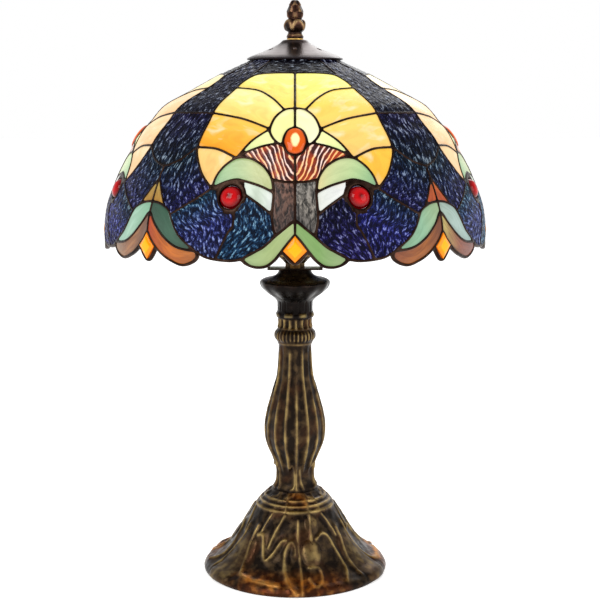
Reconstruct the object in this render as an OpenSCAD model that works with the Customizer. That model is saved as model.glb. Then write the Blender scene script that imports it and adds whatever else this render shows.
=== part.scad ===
// Table lamp with a domed leaded-glass shade on a cast, bronzed column.
// Frame: the origin is the middle of the underside, +Z is up and -Y is the front.
// The glass pattern repeats four times round the dome, and each repeat is mirror-symmetric.

/* [Shade] */
// Radius of the middle of the glass where the dome is widest
shade_r = 151; // [148:0.5:155]
// Height of the shade's datum, just below its lowest petals, above the table
shade_z = 270; // [266:1:274]
// Thickness of the sheet glass
glass_t = 3; // [2.4:0.1:3.4]
// Width of the solder seams
came_w = 2; // [1.8:0.1:2.2]
// Depth of the solder seams
came_d = 4; // [3.6:0.1:4.4]
// Gap kept between a seam's middle line and the edge of the glass
glass_inset = 1.5; // [1.4:0.05:1.7]

/* [Column] */
// Radius of the cast foot at the table
foot_r = 76; // [74:0.5:80]
// Height of the joint between the foot and the stem
foot_h = 68; // [67:0.5:69]
// Height of the joint between the stem and the urn
stem_top = 212; // [211:0.5:213]
// Height of the urn's top
urn_top = 251; // [250:0.5:251.5]
// Wall thickness of the hollow castings
cast_wall = 3.5; // [3:0.1:4]

/* [Lamp rod and cord inlet] */
// Outer radius of the threaded lamp rod
rod_r = 5; // [4.8:0.05:5.1]
// Bore radius of the threaded lamp rod
rod_bore_r = 3.4; // [3:0.1:3.6]
// Bore radius of the cord bushing at the back of the foot
inlet_r = 3.4; // [3:0.1:3.6]
// Height of the cord bushing's axis above the table
inlet_z = 7; // [6.8:0.1:7.2]

/* [Socket and bulb] */
// Outer radius of the bulb's screw cap
bulb_cap_r = 13; // [12.8:0.05:13.1]
// Radius of the bulb at its widest
bulb_r = 30; // [28:0.5:31]
// Outer radius of the socket shell
socket_r = 17; // [16.8:0.1:18]

/* [Harp and finial] */
// Half the distance between the harp's two feet
harp_foot_x = 21.4; // [21:0.1:22]
// Radius of the harp wire
harp_wire_r = 1.6; // [1.4:0.1:1.7]
// Radius of the stud that carries the shade and the finial
stud_r = 3.175; // [3.15:0.005:3.2]

/* [Hidden] */

fine = 96;                      // facets of the large round parts
small = 48;                     // facets of the small round parts
air = 0.3;                      // clearance between parts that move past each other
repeats = 4;                    // times the pattern goes round the dome
turn = 360 / repeats;           // angle of one repeat
half_turn = turn / 2;           // angle of one half repeat

// ---------------------------------------------------------------- dome surface
// Radius of the dome, as a fraction of shade_r, at heights above the shade's datum
dome = [[-6, 0.996], [0, 0.998], [15, 1], [32, 0.987], [49.5, 0.948], [69.5, 0.887], [87, 0.823],
        [100, 0.748], [112, 0.675], [123.5, 0.539], [135.5, 0.393], [146.5, 0.235], [152, 0.16]];
slope_step = 4;                 // half the height over which the dome's slope is taken

function dome_r(h) = shade_r * lookup(h, dome);
function dome_slope(h) = (dome_r(h + slope_step) - dome_r(h - slope_step)) / (2 * slope_step);
function dome_normal(h) = [1, -dome_slope(h)] / norm([1, -dome_slope(h)]);

// Point of the dome at p = [angle, height], raised by lift along the outward normal
function on_dome(p, lift = 0) =
    let (n = dome_normal(p[1]), r = dome_r(p[1]) + lift * n[0])
    [r * sin(p[0]), -r * cos(p[0]), shade_z + p[1] + lift * n[1]];
function off_dome(q) = [atan2(q[0], -q[1]), q[2] - shade_z];

// ---------------------------------------------------------------- curves on the dome
sub = 5;                        // points that smooth() makes on each stretch of a curve

function reversed(c) = [for (i = [len(c) - 1 : -1 : 0]) c[i]];
function mirrored(c, about = 0) = [for (p = c) [2 * about - p[0], p[1]]];
function join(a, b) = concat(a, [for (i = [1 : len(b) - 1]) b[i]]);
// A curve that starts, or one that ends, on a mirror line, with its mirror image
function both_sides(c, about = 0) = join(reversed(mirrored(c, about)), c);
function through(c, about = 0) = join(c, reversed(mirrored(c, about)));
function unit(v) = v / norm(v);
function clamped(c, i) = c[max(0, min(len(c) - 1, i))];

// Smooth curve through all points of c
function smooth(c) = len(c) < 3 ? c :
    [for (i = [0 : len(c) - 2]) for (k = [0 : i == len(c) - 2 ? sub : sub - 1])
        let (t = k / sub, p = clamped(c, i - 1), q = c[i], r = c[i + 1], s = clamped(c, i + 2))
        0.5 * (2 * q + (r - p) * t + (2 * p - 5 * q + 4 * r - s) * t * t
               + (3 * q - p - 3 * r + s) * t * t * t)];

// Distance run along the points p, one value for each point
function run(p) = [for (i = 0, s = 0; i < len(p);
    s = s + (i + 1 < len(p) ? norm(on_dome(p[i + 1]) - on_dome(p[i])) : 0), i = i + 1) s];

// The curve c in n equal steps, from distance a after its start to distance b before its end
function steps(c, n, a = 0, b = 0) =
    let (p = smooth(c), s = run(p), last = len(p) - 1, length = s[last] - a - b,
         angles = [for (i = [0 : last]) [s[i], p[i][0]]],
         heights = [for (i = [0 : last]) [s[i], p[i][1]]])
    [for (i = [0 : n]) [lookup(a + length * i / n, angles), lookup(a + length * i / n, heights)]];

// ---------------------------------------------------------------- seams of one half repeat
// Points are [angle from the middle of the repeat, height above the shade's datum].
fan_top     = [[0, 136], [15, 136], [27, 135], [31, 132.5]];
fan_corner  = [[31, 132.5], [33, 129], [33.3, 125]];
fan_side    = [[33.3, 125], [33.5, 107]];
fan_flank   = [[33.5, 107], [33.2, 83]];
fan_low     = [[33.2, 83], [32.5, 78.3], [31.5, 74], [28.6, 64], [24.5, 55]];
ray_1       = [[4, 109.3], [9.7, 117], [19, 123], [33.3, 125]];
ray_2       = [[8.7, 96], [19.6, 103], [33.5, 107]];
ray_3       = [[18.3, 76], [25.5, 82], [33.2, 83]];
halo_top    = [[0, 110.3], [4, 109.3]];
halo_side   = [[4, 109.3], [7.4, 104], [8.7, 96]];
halo_low    = [[8.7, 96], [7.6, 90.5], [5.4, 86.3]];
halo_end    = [[5.4, 86.3], [3.4, 84]];
flame_side  = [[0, 97], [2.7, 94.5], [3.9, 88], [3.4, 84]];
flame_low   = [[3.4, 84], [2.4, 80], [0, 78]];
fan_in      = [[8.7, 96], [14.3, 87.5], [18.3, 76]];
wing_top    = [[5.4, 86.3], [10, 84.5], [14.5, 81], [18.3, 76]];
arch_tip    = [[24.5, 55], [23.6, 64], [21.5, 71], [18.3, 76]];
arch_top    = [[18.3, 76], [14.5, 76.3], [11.3, 73.5], [8.7, 69], [6.7, 62]];
arch_outer  = [[24.5, 55], [21, 59.2], [17.5, 61.4], [15, 60.6]];
arch_inner  = [[15, 60.6], [10, 57.3], [6, 53]];
arch_end    = [[6.7, 62], [6, 53]];
trunk_top   = [[6.7, 62], [3.3, 60.3], [0, 60]];
trunk_side  = [[6, 53], [6.2, 38]];
trunk_foot  = [[6.2, 38], [5.9, 30.5], [5.3, 23.5]];
pearl_low   = [[6.2, 38], [10, 45], [14.5, 52]];
leaf_top    = [[0, 34], [2.8, 28.7], [5.3, 23.5]];
leaf_out    = [[5.3, 23.5], [7, 19.2], [9, 15], [14, 7.5]];
leaf_low    = [[14, 7.5], [11.5, 2.5], [8, 2.5], [5.5, 7], [3.5, 13.5]];
leaf_in     = [[3.5, 13.5], [1.9, 19], [0, 25]];
point_a     = [[3.5, 13.5], [0, 4.5]];
sweep       = [[17, 41], [16.7, 31], [18.4, 24], [21.7, 6.5]];
hem_in      = [[14, 7.5], [17.5, 6], [21.7, 6.5]];
hem_out     = [[21.7, 6.5], [24.8, 8], [27.5, 11.5]];
brow        = [[24.5, 55], [29.3, 47], [36.8, 36]];
shoulder    = [[33.2, 83], [38, 75], [41.4, 71.4], [45, 69.5]];
collar      = [[33.5, 107], [45, 107]];
crown_side  = [[31, 132.5], [31, 147]];
crown_rim   = [[0, 147], [15, 147], [31, 147]];
column_rim  = [[31, 147], [45, 147]];
green_top   = [[45, 44], [41.8, 43.2], [39.5, 41.2]];
green_knee  = [[39.5, 41.2], [37.8, 39], [36.8, 36]];
green_out   = [[36.8, 36], [33.2, 22], [27.5, 11.5]];
green_in    = [[45, 36.5], [42, 28], [38, 19], [33.5, 13.3], [27.5, 11.5]];
amber_low   = [[27.5, 11.5], [27.3, 7], [29.2, 3], [32.5, 1], [36.8, 4.5], [39.6, 8.5], [41.5, 12.5]];
amber_in    = [[41.5, 12.5], [43.4, 17.5], [45, 23]];
point_b     = [[41.5, 12.5], [45, 2]];
spear_side  = [[39.5, 41.2], [45, 61]];
// Straight seams on the two mirror lines
fan_axis    = [[0, 136], [0, 110.3]];
halo_axis   = [[0, 110.3], [0, 97]];
wing_axis   = [[0, 78], [0, 60]];
trunk_axis  = [[0, 60], [0, 34]];
leaf_axis   = [[0, 34], [0, 25]];
blue_axis   = [[45, 69.5], [45, 61]];
spear_axis  = [[45, 61], [45, 44]];
green_axis  = [[45, 44], [45, 36.5]];
amber_axis  = [[45, 36.5], [45, 23]];

// The ring round a ruby jewel, from angle a to b in n steps, 0 towards the mirror line
ruby_at = [18.3, 49.6];         // middle of the ring
ruby_ring_r = 9.2;              // radius of the ring's middle line
ruby_r = 7.5;                   // radius of the jewel
function ruby_ring(a, b, n) =
    let (scale = 180 / PI / dome_r(ruby_at[1]))
    [for (i = [0 : n]) let (t = a + (b - a) * i / n)
        ruby_at + ruby_ring_r * [-cos(t) * scale, sin(t)]];

// ---------------------------------------------------------------- panes of glass
// Places [i, j] round the edge of a grid of n by m cells
function edge_places(n, m) = concat(
    [for (i = [0 : n]) [i, 0]], [for (j = [1 : m]) [n, j]], [for (i = [n - 1 : -1 : 0]) [i, m]],
    m > 1 ? [for (j = [m - 1 : -1 : 1]) [0, j]] : []);

// Edge points p moved in from the seams' middle lines, by the miter at each point
function moved_in(p, side) =
    [for (k = [0 : len(p) - 1])
        let (q = on_dome(p[k]),
             before = on_dome(p[(k + len(p) - 1) % len(p)]),
             after = on_dome(p[(k + 1) % len(p)]),
             out = on_dome(p[k], 1) - q,
             n1 = side * unit(cross(out, q - before)),
             n2 = side * unit(cross(out, after - q)),
             miter = (n1 + n2) / max(1 + n1 * n2, 0.3))
        off_dome(q + miter * glass_inset)];

// A pane between four edges: a and b run the long way, c and d join their starts and their ends
module pane(a, b, c = [], d = [], n = 4, m = 2, cut = [0, 0], t = glass_t) {
    ea = steps(a, n, cut[0], cut[1]);
    eb = steps(b, n, cut[0], cut[1]);
    ec = steps(c == [] ? [ea[0], eb[0]] : c, m);
    ed = steps(d == [] ? [ea[n], eb[n]] : d, m);
    places = edge_places(n, m);
    count = len(places);
    raw = [for (q = places) q[1] == 0 ? ea[q[0]] : q[0] == n ? ed[q[1]] : q[1] == m ? eb[q[0]] : ec[q[1]]];
    across = cross(on_dome(ea[1]) - on_dome(ea[0]), on_dome(eb[0]) - on_dome(ea[0]));
    side = sign(across * (on_dome(ea[0], 1) - on_dome(ea[0])));
    rim = moved_in(raw, side);
    function edge_a(i) = rim[i];
    function edge_b(i) = rim[2 * n + m - i];
    function edge_c(j) = rim[(2 * n + 2 * m - j) % count];
    function edge_d(j) = rim[n + j];
    function inside(i, j) =
        let (u = i / n, v = j / m)
        (1 - v) * edge_a(i) + v * edge_b(i) + (1 - u) * edge_c(j) + u * edge_d(j)
        - (1 - u) * (1 - v) * edge_a(0) - u * (1 - v) * edge_a(n)
        - (1 - u) * v * edge_b(0) - u * v * edge_b(n);
    function at(layer, i, j) = layer * (n + 1) * (m + 1) + i * (m + 1) + j;
    function facing(tri) = side > 0 ? [tri[0], tri[2], tri[1]] : tri;
    points = [for (layer = [-1, 1]) for (i = [0 : n]) for (j = [0 : m])
        on_dome(inside(i, j), layer * t / 2)];
    front = [for (i = [0 : n - 1]) for (j = [0 : m - 1])
        each [[at(1, i, j), at(1, i + 1, j), at(1, i + 1, j + 1)],
              [at(1, i, j), at(1, i + 1, j + 1), at(1, i, j + 1)]]];
    back = [for (i = [0 : n - 1]) for (j = [0 : m - 1])
        each [[at(0, i, j), at(0, i + 1, j + 1), at(0, i + 1, j)],
              [at(0, i, j), at(0, i, j + 1), at(0, i + 1, j + 1)]]];
    walls = [for (k = [0 : count - 1])
        let (p = places[k], q = places[(k + 1) % count])
        each [[at(0, p[0], p[1]), at(0, q[0], q[1]), at(1, q[0], q[1])],
              [at(0, p[0], p[1]), at(1, q[0], q[1]), at(1, p[0], p[1])]]];
    polyhedron(points, [for (f = concat(front, back, walls)) facing(f)], convexity = 4);
}

// The pane or panes of one repeat, all the way round the dome
module round_the_dome() {
    for (k = [0 : repeats - 1]) rotate(k * turn) children();
}

// A pane and its mirror image, all the way round the dome
module in_pairs() {
    round_the_dome() {
        children();
        mirror([1, 0, 0]) children();
    }
}

blue = "midnightblue";
cream = "moccasin";

module glass_blue_upper() {
    left = join(join(reversed(fan_side), reversed(fan_corner)), crown_side);
    color(blue) round_the_dome() {
        pane(both_sides(fan_top), both_sides(crown_rim), n = 8, m = 1);
        pane(left, mirrored(left, half_turn), through(collar, half_turn), through(column_rim, half_turn),
             n = 4, m = 2);
        pane(reversed(fan_flank), reversed(mirrored(fan_flank, half_turn)), through(shoulder, half_turn),
             through(collar, half_turn), n = 2, m = 4);
    }
}

module glass_blue_middle() {
    right = join(join(blue_axis, reversed(spear_side)), green_knee);
    color(blue) in_pairs() pane(shoulder, brow, fan_low, right, n = 4, m = 4);
}

module glass_blue_lower() {
    left = concat([brow[0], [22.8, 54.2]], ruby_ring(-170, -85, 4), [[17.1, 37.5]],
                  [for (i = [1 : 3]) sweep[i]]);
    color(blue) in_pairs() pane(left, green_out, brow, hem_out, n = 10, m = 2);
}

module glass_blue_inner() {
    right = concat([[14.5, 52]], ruby_ring(0, -50, 2), sweep);
    color(blue) in_pairs() pane(join(trunk_foot, leaf_out), right, pearl_low, hem_in, n = 9, m = 2);
}

module glass_fan_upper() {
    color(cream) in_pairs() pane(fan_top, join(halo_top, ray_1), fan_axis, fan_corner, n = 7, m = 2);
}

module glass_fan_second() {
    color(cream) in_pairs() pane(ray_1, ray_2, halo_side, fan_side, n = 4, m = 3);
}

module glass_fan_third() {
    color("sandybrown") in_pairs() pane(ray_2, ray_3, fan_in, fan_flank, n = 4, m = 2);
}

module glass_fan_lower() {
    color(cream) in_pairs() pane(reversed(arch_tip), fan_low, ray_3, n = 4, m = 2, cut = [0, 3]);
}

module glass_halo() {
    outer = join(join(halo_top, halo_side), join(halo_low, halo_end));
    color("lemonchiffon") in_pairs() pane(outer, flame_side, halo_axis, n = 5, m = 1, cut = [0, 5]);
}

module glass_spandrel() {
    color("palegoldenrod") in_pairs() pane(wing_top, fan_in, reversed(halo_low), n = 3, m = 2, cut = [0, 7]);
}

module glass_wing() {
    top = join(join(reversed(flame_low), reversed(halo_end)), wing_top);
    bottom = join(reversed(trunk_top), reversed(arch_top));
    color("sienna") in_pairs() pane(top, bottom, wing_axis, n = 6, m = 1, cut = [0, 6]);
}

module glass_arch() {
    color("darkseagreen") in_pairs()
        pane(join(arch_tip, arch_top), join(arch_outer, arch_inner), d = arch_end,
             n = 7, m = 1, cut = [5, 0]);
}

module glass_pearl() {
    color("mintcream") in_pairs()
        pane(arch_inner, reversed(pearl_low), [[15, 60.6], [14.5, 52]], trunk_side, n = 3, m = 2);
}

module glass_trunk() {
    side = join(join(arch_end, trunk_side), trunk_foot);
    color("dimgray") in_pairs() pane(trunk_axis, side, reversed(trunk_top), leaf_top, n = 4, m = 2);
}

module glass_leaf() {
    color("darkkhaki") in_pairs()
        pane(join(leaf_top, leaf_out), reversed(join(leaf_low, leaf_in)), leaf_axis,
             n = 5, m = 1, cut = [0, 3]);
}

module glass_spear() {
    color("peru") in_pairs()
        pane(reversed(spear_side), spear_axis, d = reversed(green_top), n = 3, m = 2, cut = [7, 0]);
}

module glass_petal_green() {
    color("mediumaquamarine") in_pairs()
        pane(join(join(green_top, green_knee), green_out), green_in, green_axis, n = 6, m = 1, cut = [0, 8]);
}

module glass_petal_amber() {
    lower = join(reversed(amber_in), reversed(amber_low));
    color("chocolate") in_pairs() pane(green_in, lower, amber_axis, n = 6, m = 1, cut = [0, 3]);
}

jewel_t = 6;                    // thickness of the pressed jewels

module jewel_flame() {
    flame = join(flame_side, flame_low);
    color("orange") round_the_dome()
        pane(flame, mirrored(flame), n = 4, m = 2, cut = [3.5, 3.5], t = jewel_t);
}

// Round jewel with a domed face, set square to the dome
module jewel_ruby() {
    n = dome_normal(ruby_at[1]);
    color("crimson") in_pairs()
        translate(on_dome(ruby_at)) rotate(ruby_at[0]) rotate([90 - atan2(n[1], n[0]), 0, 0])
            rotate_extrude($fn = small)
                polygon([[0, -3], [7, -3], [ruby_r, -2], [ruby_r, 1], [7, 3], [4.5, 4.4], [0, 5]]);
}

module jewel_diamond() {
    color("gold") round_the_dome() {
        pane(mirrored(reversed(leaf_in)), point_a, reversed(leaf_in), mirrored(point_a),
             n = 2, m = 2, t = jewel_t);
        pane(reversed(amber_in), mirrored(point_b, half_turn), mirrored(reversed(amber_in), half_turn),
             point_b, n = 2, m = 2, t = jewel_t);
    }
}

// ---------------------------------------------------------------- solder seams
butt = 1.5;                     // distance from a seam's end to the middle line of a seam it meets squarely
slant = 3.4;                    // the same where the seams meet at about 40 degrees
touch = 0.2;                    // half the slit where a closed seam's two ends meet

// One bar of solder along the curve c, in straight steps of about the given length
module came(c, cut = [butt, butt], step = 8) {
    s = run(smooth(c));
    n = max(1, round((s[len(s) - 1] - cut[0] - cut[1]) / step));
    p = steps(c, n, cut[0], cut[1]);
    points = [for (i = [0 : n])
        let (middle = on_dome(p[i]),
             out = on_dome(p[i], 1) - middle,
             along = on_dome(p[min(i + 1, n)]) - on_dome(p[max(i - 1, 0)]),
             aside = unit(cross(out, along)) * came_w / 2,
             up = out * came_d / 2)
        each [middle + aside + up, middle - aside + up, middle - aside - up, middle + aside - up]];
    walls = [for (i = [0 : n - 1]) for (k = [0 : 3])
        let (a = 4 * i + k, b = 4 * i + (k + 1) % 4)
        each [[a, b + 4, b], [a, a + 4, b + 4]]];
    last = 4 * n;
    caps = [[0, 1, 2], [0, 2, 3], [last, last + 2, last + 1], [last, last + 3, last + 2]];
    polyhedron(points, concat(walls, caps), convexity = 4);
}

// Seams across the middle of a repeat
module middle_seams() {
    fan = join(join(join(fan_top, fan_corner), join(fan_side, fan_flank)), fan_low);
    came(fan_axis);
    came(halo_axis);
    came(wing_axis);
    came(trunk_axis, [butt, 2.6]);
    came(leaf_axis, [2.6, butt]);
    came(both_sides(fan), [1, 1]);
    came(both_sides(join(join(halo_top, halo_side), join(halo_low, halo_end))), step = 5);
    came(both_sides(join(flame_side, flame_low)), [touch, touch], 5);
    came(through(trunk_top));
    came(both_sides(join(join(leaf_top, leaf_out), join(leaf_low, leaf_in))), [1.8, 1.8], 6);
    came(through(point_a), step = 12);
    came(both_sides(join(crown_rim, column_rim)), [touch, touch], 10);
}

// Seams on one side of a repeat
module side_seams() {
    came(crown_side);
    came(ray_1);
    came(ray_2);
    came(ray_3, [slant, butt]);
    came(fan_in, [butt, slant]);
    came(wing_top, [butt, 9.5]);
    came(join(join(join(arch_tip, arch_top), join(arch_end, trunk_side)), trunk_foot), [2.8, slant], 7);
    came(join(arch_outer, arch_inner), [2.8, butt]);
    came(pearl_low, [slant, 2]);
    came(ruby_ring(180, 540, 12), [touch, touch], 5);
    came(sweep);
    came(brow, [2.8, butt]);
    came(spear_side, [3.8, 3.8]);
    came(join(hem_in, hem_out), [butt, 2.2]);
}

// Seams of the petals between one repeat and the next
module petal_seams() {
    came(through(collar, half_turn));
    came(through(shoulder, half_turn), [2.4, 2.4], 9);
    came(join(blue_axis, spear_axis));
    came(green_axis);
    came(amber_axis, [3.2, butt]);
    came(both_sides(join(join(green_top, green_knee), green_out), half_turn), step = 7);
    came(both_sides(green_in, half_turn), [5, 5], 7);
    came(through(join(amber_low, amber_in), half_turn), [2.2, 2.2], 5);
    came(through(point_b, half_turn), step = 12);
}

// The seams of one repeat, with those of the petals to its right
module seams(k) {
    color("saddlebrown") rotate(k * turn) {
        middle_seams();
        side_seams();
        mirror([1, 0, 0]) side_seams();
        petal_seams();
    }
}

module seams_front() { seams(0); }
module seams_right() { seams(1); }
module seams_back() { seams(2); }
module seams_left() { seams(3); }

// ---------------------------------------------------------------- shade ring and spider
bore_play = 0.4;                // radial play of the plates that drop over the stud
hub_z = 408.4;                  // underside of the spider's hub
hub_h = 3.2;                    // height of the spider's hub
arm_top = shade_z + 143;        // top of the spider's arms at the ring
ring_h = 4.2;                   // height of the brass ring
ring_r = 32.4;                  // outer radius of the brass ring
ring_in_r = 28.4;               // inner radius of the brass ring
arm_t = 1.8;                    // thickness of a spider arm
arm_w = 7;                      // width of a spider arm
arms = 3;                       // number of spider arms

module shade_ring() {
    color("goldenrod") translate([0, 0, arm_top]) difference() {
        cylinder(r = ring_r, h = ring_h, $fn = fine);
        translate([0, 0, -1]) cylinder(r = ring_in_r, h = ring_h + 2, $fn = fine);
    }
}

module shade_spider() {
    color("goldenrod") difference() {
        union() {
            translate([0, 0, hub_z]) cylinder(r = 9, h = hub_h, $fn = small);
            for (k = [0 : arms - 1]) rotate(90 + k * 360 / arms)
                rotate([90, 0, 0]) translate([0, 0, -arm_w / 2]) linear_extrude(arm_w)
                    polygon([[6, hub_z + 0.4], [10, hub_z + 0.4], [25, arm_top - arm_t],
                             [31.4, arm_top - arm_t], [31.4, arm_top], [24.4, arm_top],
                             [9.4, hub_z + hub_h - 0.6], [6, hub_z + hub_h - 0.6]]);
        }
        translate([0, 0, hub_z - 1]) cylinder(r = stud_r + bore_play, h = hub_h + 2, $fn = small);
    }
}

// ---------------------------------------------------------------- cap and finial
cap_z = 418.7;                  // underside of the cap's rim
cap_top = 434;                  // top of the cap
cap_wall = 1.2;                 // thickness of the spun cap
vent_at = 22;                   // distance of the cap's vents from the axis
vent_r = 2.2;                   // radius of a vent
// Outside of the cap, as [radius, height]
cap_outline = [[38, cap_z], [38, cap_z + 1], [34, cap_z + 3], [26, cap_z + 6.2], [19, cap_z + 9.2],
               [12.7, cap_z + 12.5], [9.4, cap_top], [6, cap_top]];

module top_cap() {
    inner = [for (p = cap_outline) [p[0], p[1] - cap_wall]];
    color("dimgray") difference() {
        rotate_extrude($fn = fine)
            polygon(concat([[38, cap_z]], [for (i = [1 : 7]) cap_outline[i]], [[stud_r + bore_play, cap_top]],
                           [[stud_r + bore_play, cap_top - cap_wall]],
                           [for (i = [7 : -1 : 2]) inner[i]], [[36.6, cap_z]]));
        for (k = [0 : 5]) rotate(30 + k * 60)
            translate([vent_at, 0, cap_z - 1]) cylinder(r = vent_r, h = 20, $fn = small);
    }
}

module cap_washer() {
    color("goldenrod") translate([0, 0, cap_top]) difference() {
        cylinder(r = 6.6, h = 1.2, $fn = small);
        translate([0, 0, -1]) cylinder(r = stud_r + bore_play, h = 4, $fn = small);
    }
}

finial_z = cap_top + 1.2 + 0.1; // underside of the finial
finial_bore_h = 12;             // depth of the finial's threaded bore
stud_play = 0.07;               // radial play of the finial on the stud
// Outside of the finial above its underside, as [radius, height]
finial_outline = [[6.2, 0], [6.7, 1.4], [5.4, 4.5], [7, 6.2], [8.3, 8.6], [8.3, 11], [7.2, 13.4], [5.3, 15.4],
                  [6, 17.6], [6.2, 20.4], [5.2, 23.4], [3.9, 26.6], [2.2, 29], [0, 30]];

module finial() {
    color("sienna") translate([0, 0, finial_z]) difference() {
        rotate_extrude($fn = small) polygon(concat([[0, 0]], finial_outline));
        translate([0, 0, -1]) cylinder(r = stud_r + stud_play, h = finial_bore_h + 1, $fn = small);
    }
}

// ---------------------------------------------------------------- foot
pad_t = 1.5;                    // thickness of the felt
rim_z = 0.6;                    // underside of the foot's rim
ledge_z = 15.8;                 // underside of the ledge that the ballast plate pulls against
plate_t = 5;                    // thickness of the ballast plate
plate_r = 54;                   // radius of the ballast plate
bushing_r = 4.5;                // outer radius of the cord bushing
flange_r = 5.6;                 // radius of the bushing's flange
flange_y = 74;                  // how far back the flange's face is seated
// Outside of the foot, as [radius, height]
foot_outline = [[foot_r, rim_z], [foot_r, 3.2], [72.5, 7.2], [65, 11.6], [58, 17], [52.5, 23], [48.4, 29],
                [45, 34.6], [42, 40], [38.6, 45.4], [34.4, 52.2], [29.4, 59], [23.6, 64.6], [19.4, foot_h]];

module foot() {
    inner = [for (i = [12 : -1 : 5]) [foot_outline[i][0] - cast_wall, foot_outline[i][1] - cast_wall * 0.6]];
    color("saddlebrown") difference() {
        rotate_extrude($fn = fine)
            polygon(concat(foot_outline, [[rod_r + 0.2, foot_h], [rod_r + 0.2, foot_h - 5]], inner,
                           [[50, ledge_z + 2.4], [50, ledge_z], [56, ledge_z], [62, 9.6], [70, 4.4],
                            [72.6, rim_z]]));
        translate([0, 60, inlet_z]) rotate([-90, 0, 0]) cylinder(r = bushing_r + 0.1, h = 30, $fn = small);
        translate([0, flange_y - 0.1, inlet_z]) rotate([-90, 0, 0])
            cylinder(r = flange_r + 0.2, h = 10, $fn = small);
    }
}

module ballast_plate() {
    color("slategray") translate([0, 0, ledge_z - plate_t]) difference() {
        cylinder(r = plate_r, h = plate_t, $fn = fine);
        translate([0, 0, -1]) cylinder(r = rod_r + 0.2, h = plate_t + 2, $fn = small);
    }
}

module felt_pad() {
    color("darkgreen") cylinder(r = 72, h = pad_t, $fn = fine);
}

washer_t = 1.4;                 // thickness of the rod's washer
nut_h = 5;                      // height of the rod's nuts

module rod_washer() {
    color("silver") translate([0, 0, ledge_z - plate_t - washer_t]) difference() {
        cylinder(r = 11, h = washer_t, $fn = small);
        translate([0, 0, -1]) cylinder(r = rod_r + 0.2, h = washer_t + 2, $fn = small);
    }
}

module rod_nut() {
    color("silver") translate([0, 0, ledge_z - plate_t - washer_t - nut_h]) difference() {
        cylinder(r = 9.2, h = nut_h, $fn = 6);
        translate([0, 0, -1]) cylinder(r = rod_r, h = nut_h + 2, $fn = small);
    }
}

rod_z = 3;                      // lower end of the rod
rod_top = 263;                  // upper end of the rod

module threaded_rod() {
    color("silver") translate([0, 0, rod_z]) difference() {
        cylinder(r = rod_r, h = rod_top - rod_z, $fn = small);
        translate([0, 0, -1]) cylinder(r = rod_bore_r, h = rod_top, $fn = small);
    }
}

// Bushing with a flange, in the back wall of the foot
module cord_bushing() {
    color("black") translate([0, 0, inlet_z]) rotate([-90, 0, 0]) difference() {
        union() {
            translate([0, 0, 66]) cylinder(r = bushing_r, h = flange_y - 65, $fn = small);
            translate([0, 0, flange_y]) cylinder(r = flange_r, h = 2, $fn = small);
        }
        translate([0, 0, 60]) cylinder(r = inlet_r, h = 20, $fn = small);
    }
}

// ---------------------------------------------------------------- stem and urn
// Outside of the stem, as [radius, height]
stem_outline = [[19.2, foot_h], [18.4, 70.5], [16.4, 74], [15.4, 78], [15.4, 84], [17.2, 90], [19.4, 95.6],
                [21.6, 100.6], [23.4, 105], [24.8, 110.6], [25.3, 116], [25.3, 123], [24.5, 128.6],
                [23.2, 135], [21.4, 142], [19.8, 148.4], [18.2, 155], [16.4, 161], [15.3, 168], [14.6, 178],
                [14.4, 188], [15.4, 191.2], [17.4, 194.4], [17.8, 197.2], [17.2, 200], [15.2, 203],
                [14, 206], [13.9, 209], [14.4, stem_top]];
end_t = 6;                      // thickness of the stem's closed ends

module stem() {
    inner = [for (i = [len(stem_outline) - 4 : -1 : 3]) [stem_outline[i][0] - cast_wall, stem_outline[i][1]]];
    color("saddlebrown") rotate_extrude($fn = fine)
        polygon(concat(stem_outline, [[rod_r + 0.2, stem_top], [rod_r + 0.2, stem_top - end_t]], inner,
                       [[rod_r + 0.2, foot_h + end_t], [rod_r + 0.2, foot_h]]));
}

// Outside of the urn, as [radius, height]
urn_outline = [[15, stem_top], [15.6, 214.4], [14.6, 217], [14.4, 221.6], [14.9, 225.4], [17.6, 228.4],
               [22, 231.8], [26.2, 235.6], [28.3, 239], [28.2, 241.6], [26, 243.4], [20.6, 245.8],
               [15.6, 248.4], [12.8, urn_top]];

module urn() {
    inner = [for (i = [10 : -1 : 4]) [urn_outline[i][0] - cast_wall, urn_outline[i][1] - (i > 7 ? 2.6 : 0)]];
    color("sienna") rotate_extrude($fn = fine)
        polygon(concat(urn_outline, [[rod_r + 0.2, urn_top], [rod_r + 0.2, urn_top - 4]], inner,
                       [[rod_r + 0.2, stem_top + 9], [rod_r + 0.2, stem_top]]));
}

// ---------------------------------------------------------------- harp
saddle_t = 1.6;                 // thickness of the saddle strip
saddle_w = 13;                  // width of the saddle strip
ear_h = 8;                      // height of the saddle's upturned ears
nut_z = urn_top + saddle_t;     // underside of the saddle's nut
harp_z = urn_top + ear_h + saddle_t;    // foot of the harp wire, on the ears
leg_h = 18;                     // straight lower stretch of the harp wire
flare = 22;                     // angle that the harp leans outwards
flare_r = 30;                   // radius of the outward bend
side_l = 54.6;                  // straight stretch of the harp's side
bow_r = 46;                     // radius of the harp's upper bend

module harp_saddle() {
    x = harp_foot_x;
    color("goldenrod") difference() {
        rotate([90, 0, 0]) translate([0, 0, -saddle_w / 2]) linear_extrude(saddle_w)
            polygon([[-x - 1, urn_top], [x + 1, urn_top], [x + 1, harp_z], [x - 1, harp_z],
                     [x - 1, urn_top + saddle_t], [-x + 1, urn_top + saddle_t], [-x + 1, harp_z],
                     [-x - 1, harp_z]]);
        translate([0, 0, urn_top - 1]) cylinder(r = rod_r + 0.2, h = 5, $fn = small);
    }
}

module saddle_nut() {
    color("darkkhaki") translate([0, 0, nut_z]) difference() {
        cylinder(r = 7.8, h = 4, $fn = 6);
        translate([0, 0, -1]) cylinder(r = rod_r, h = 6, $fn = small);
    }
}

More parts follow.
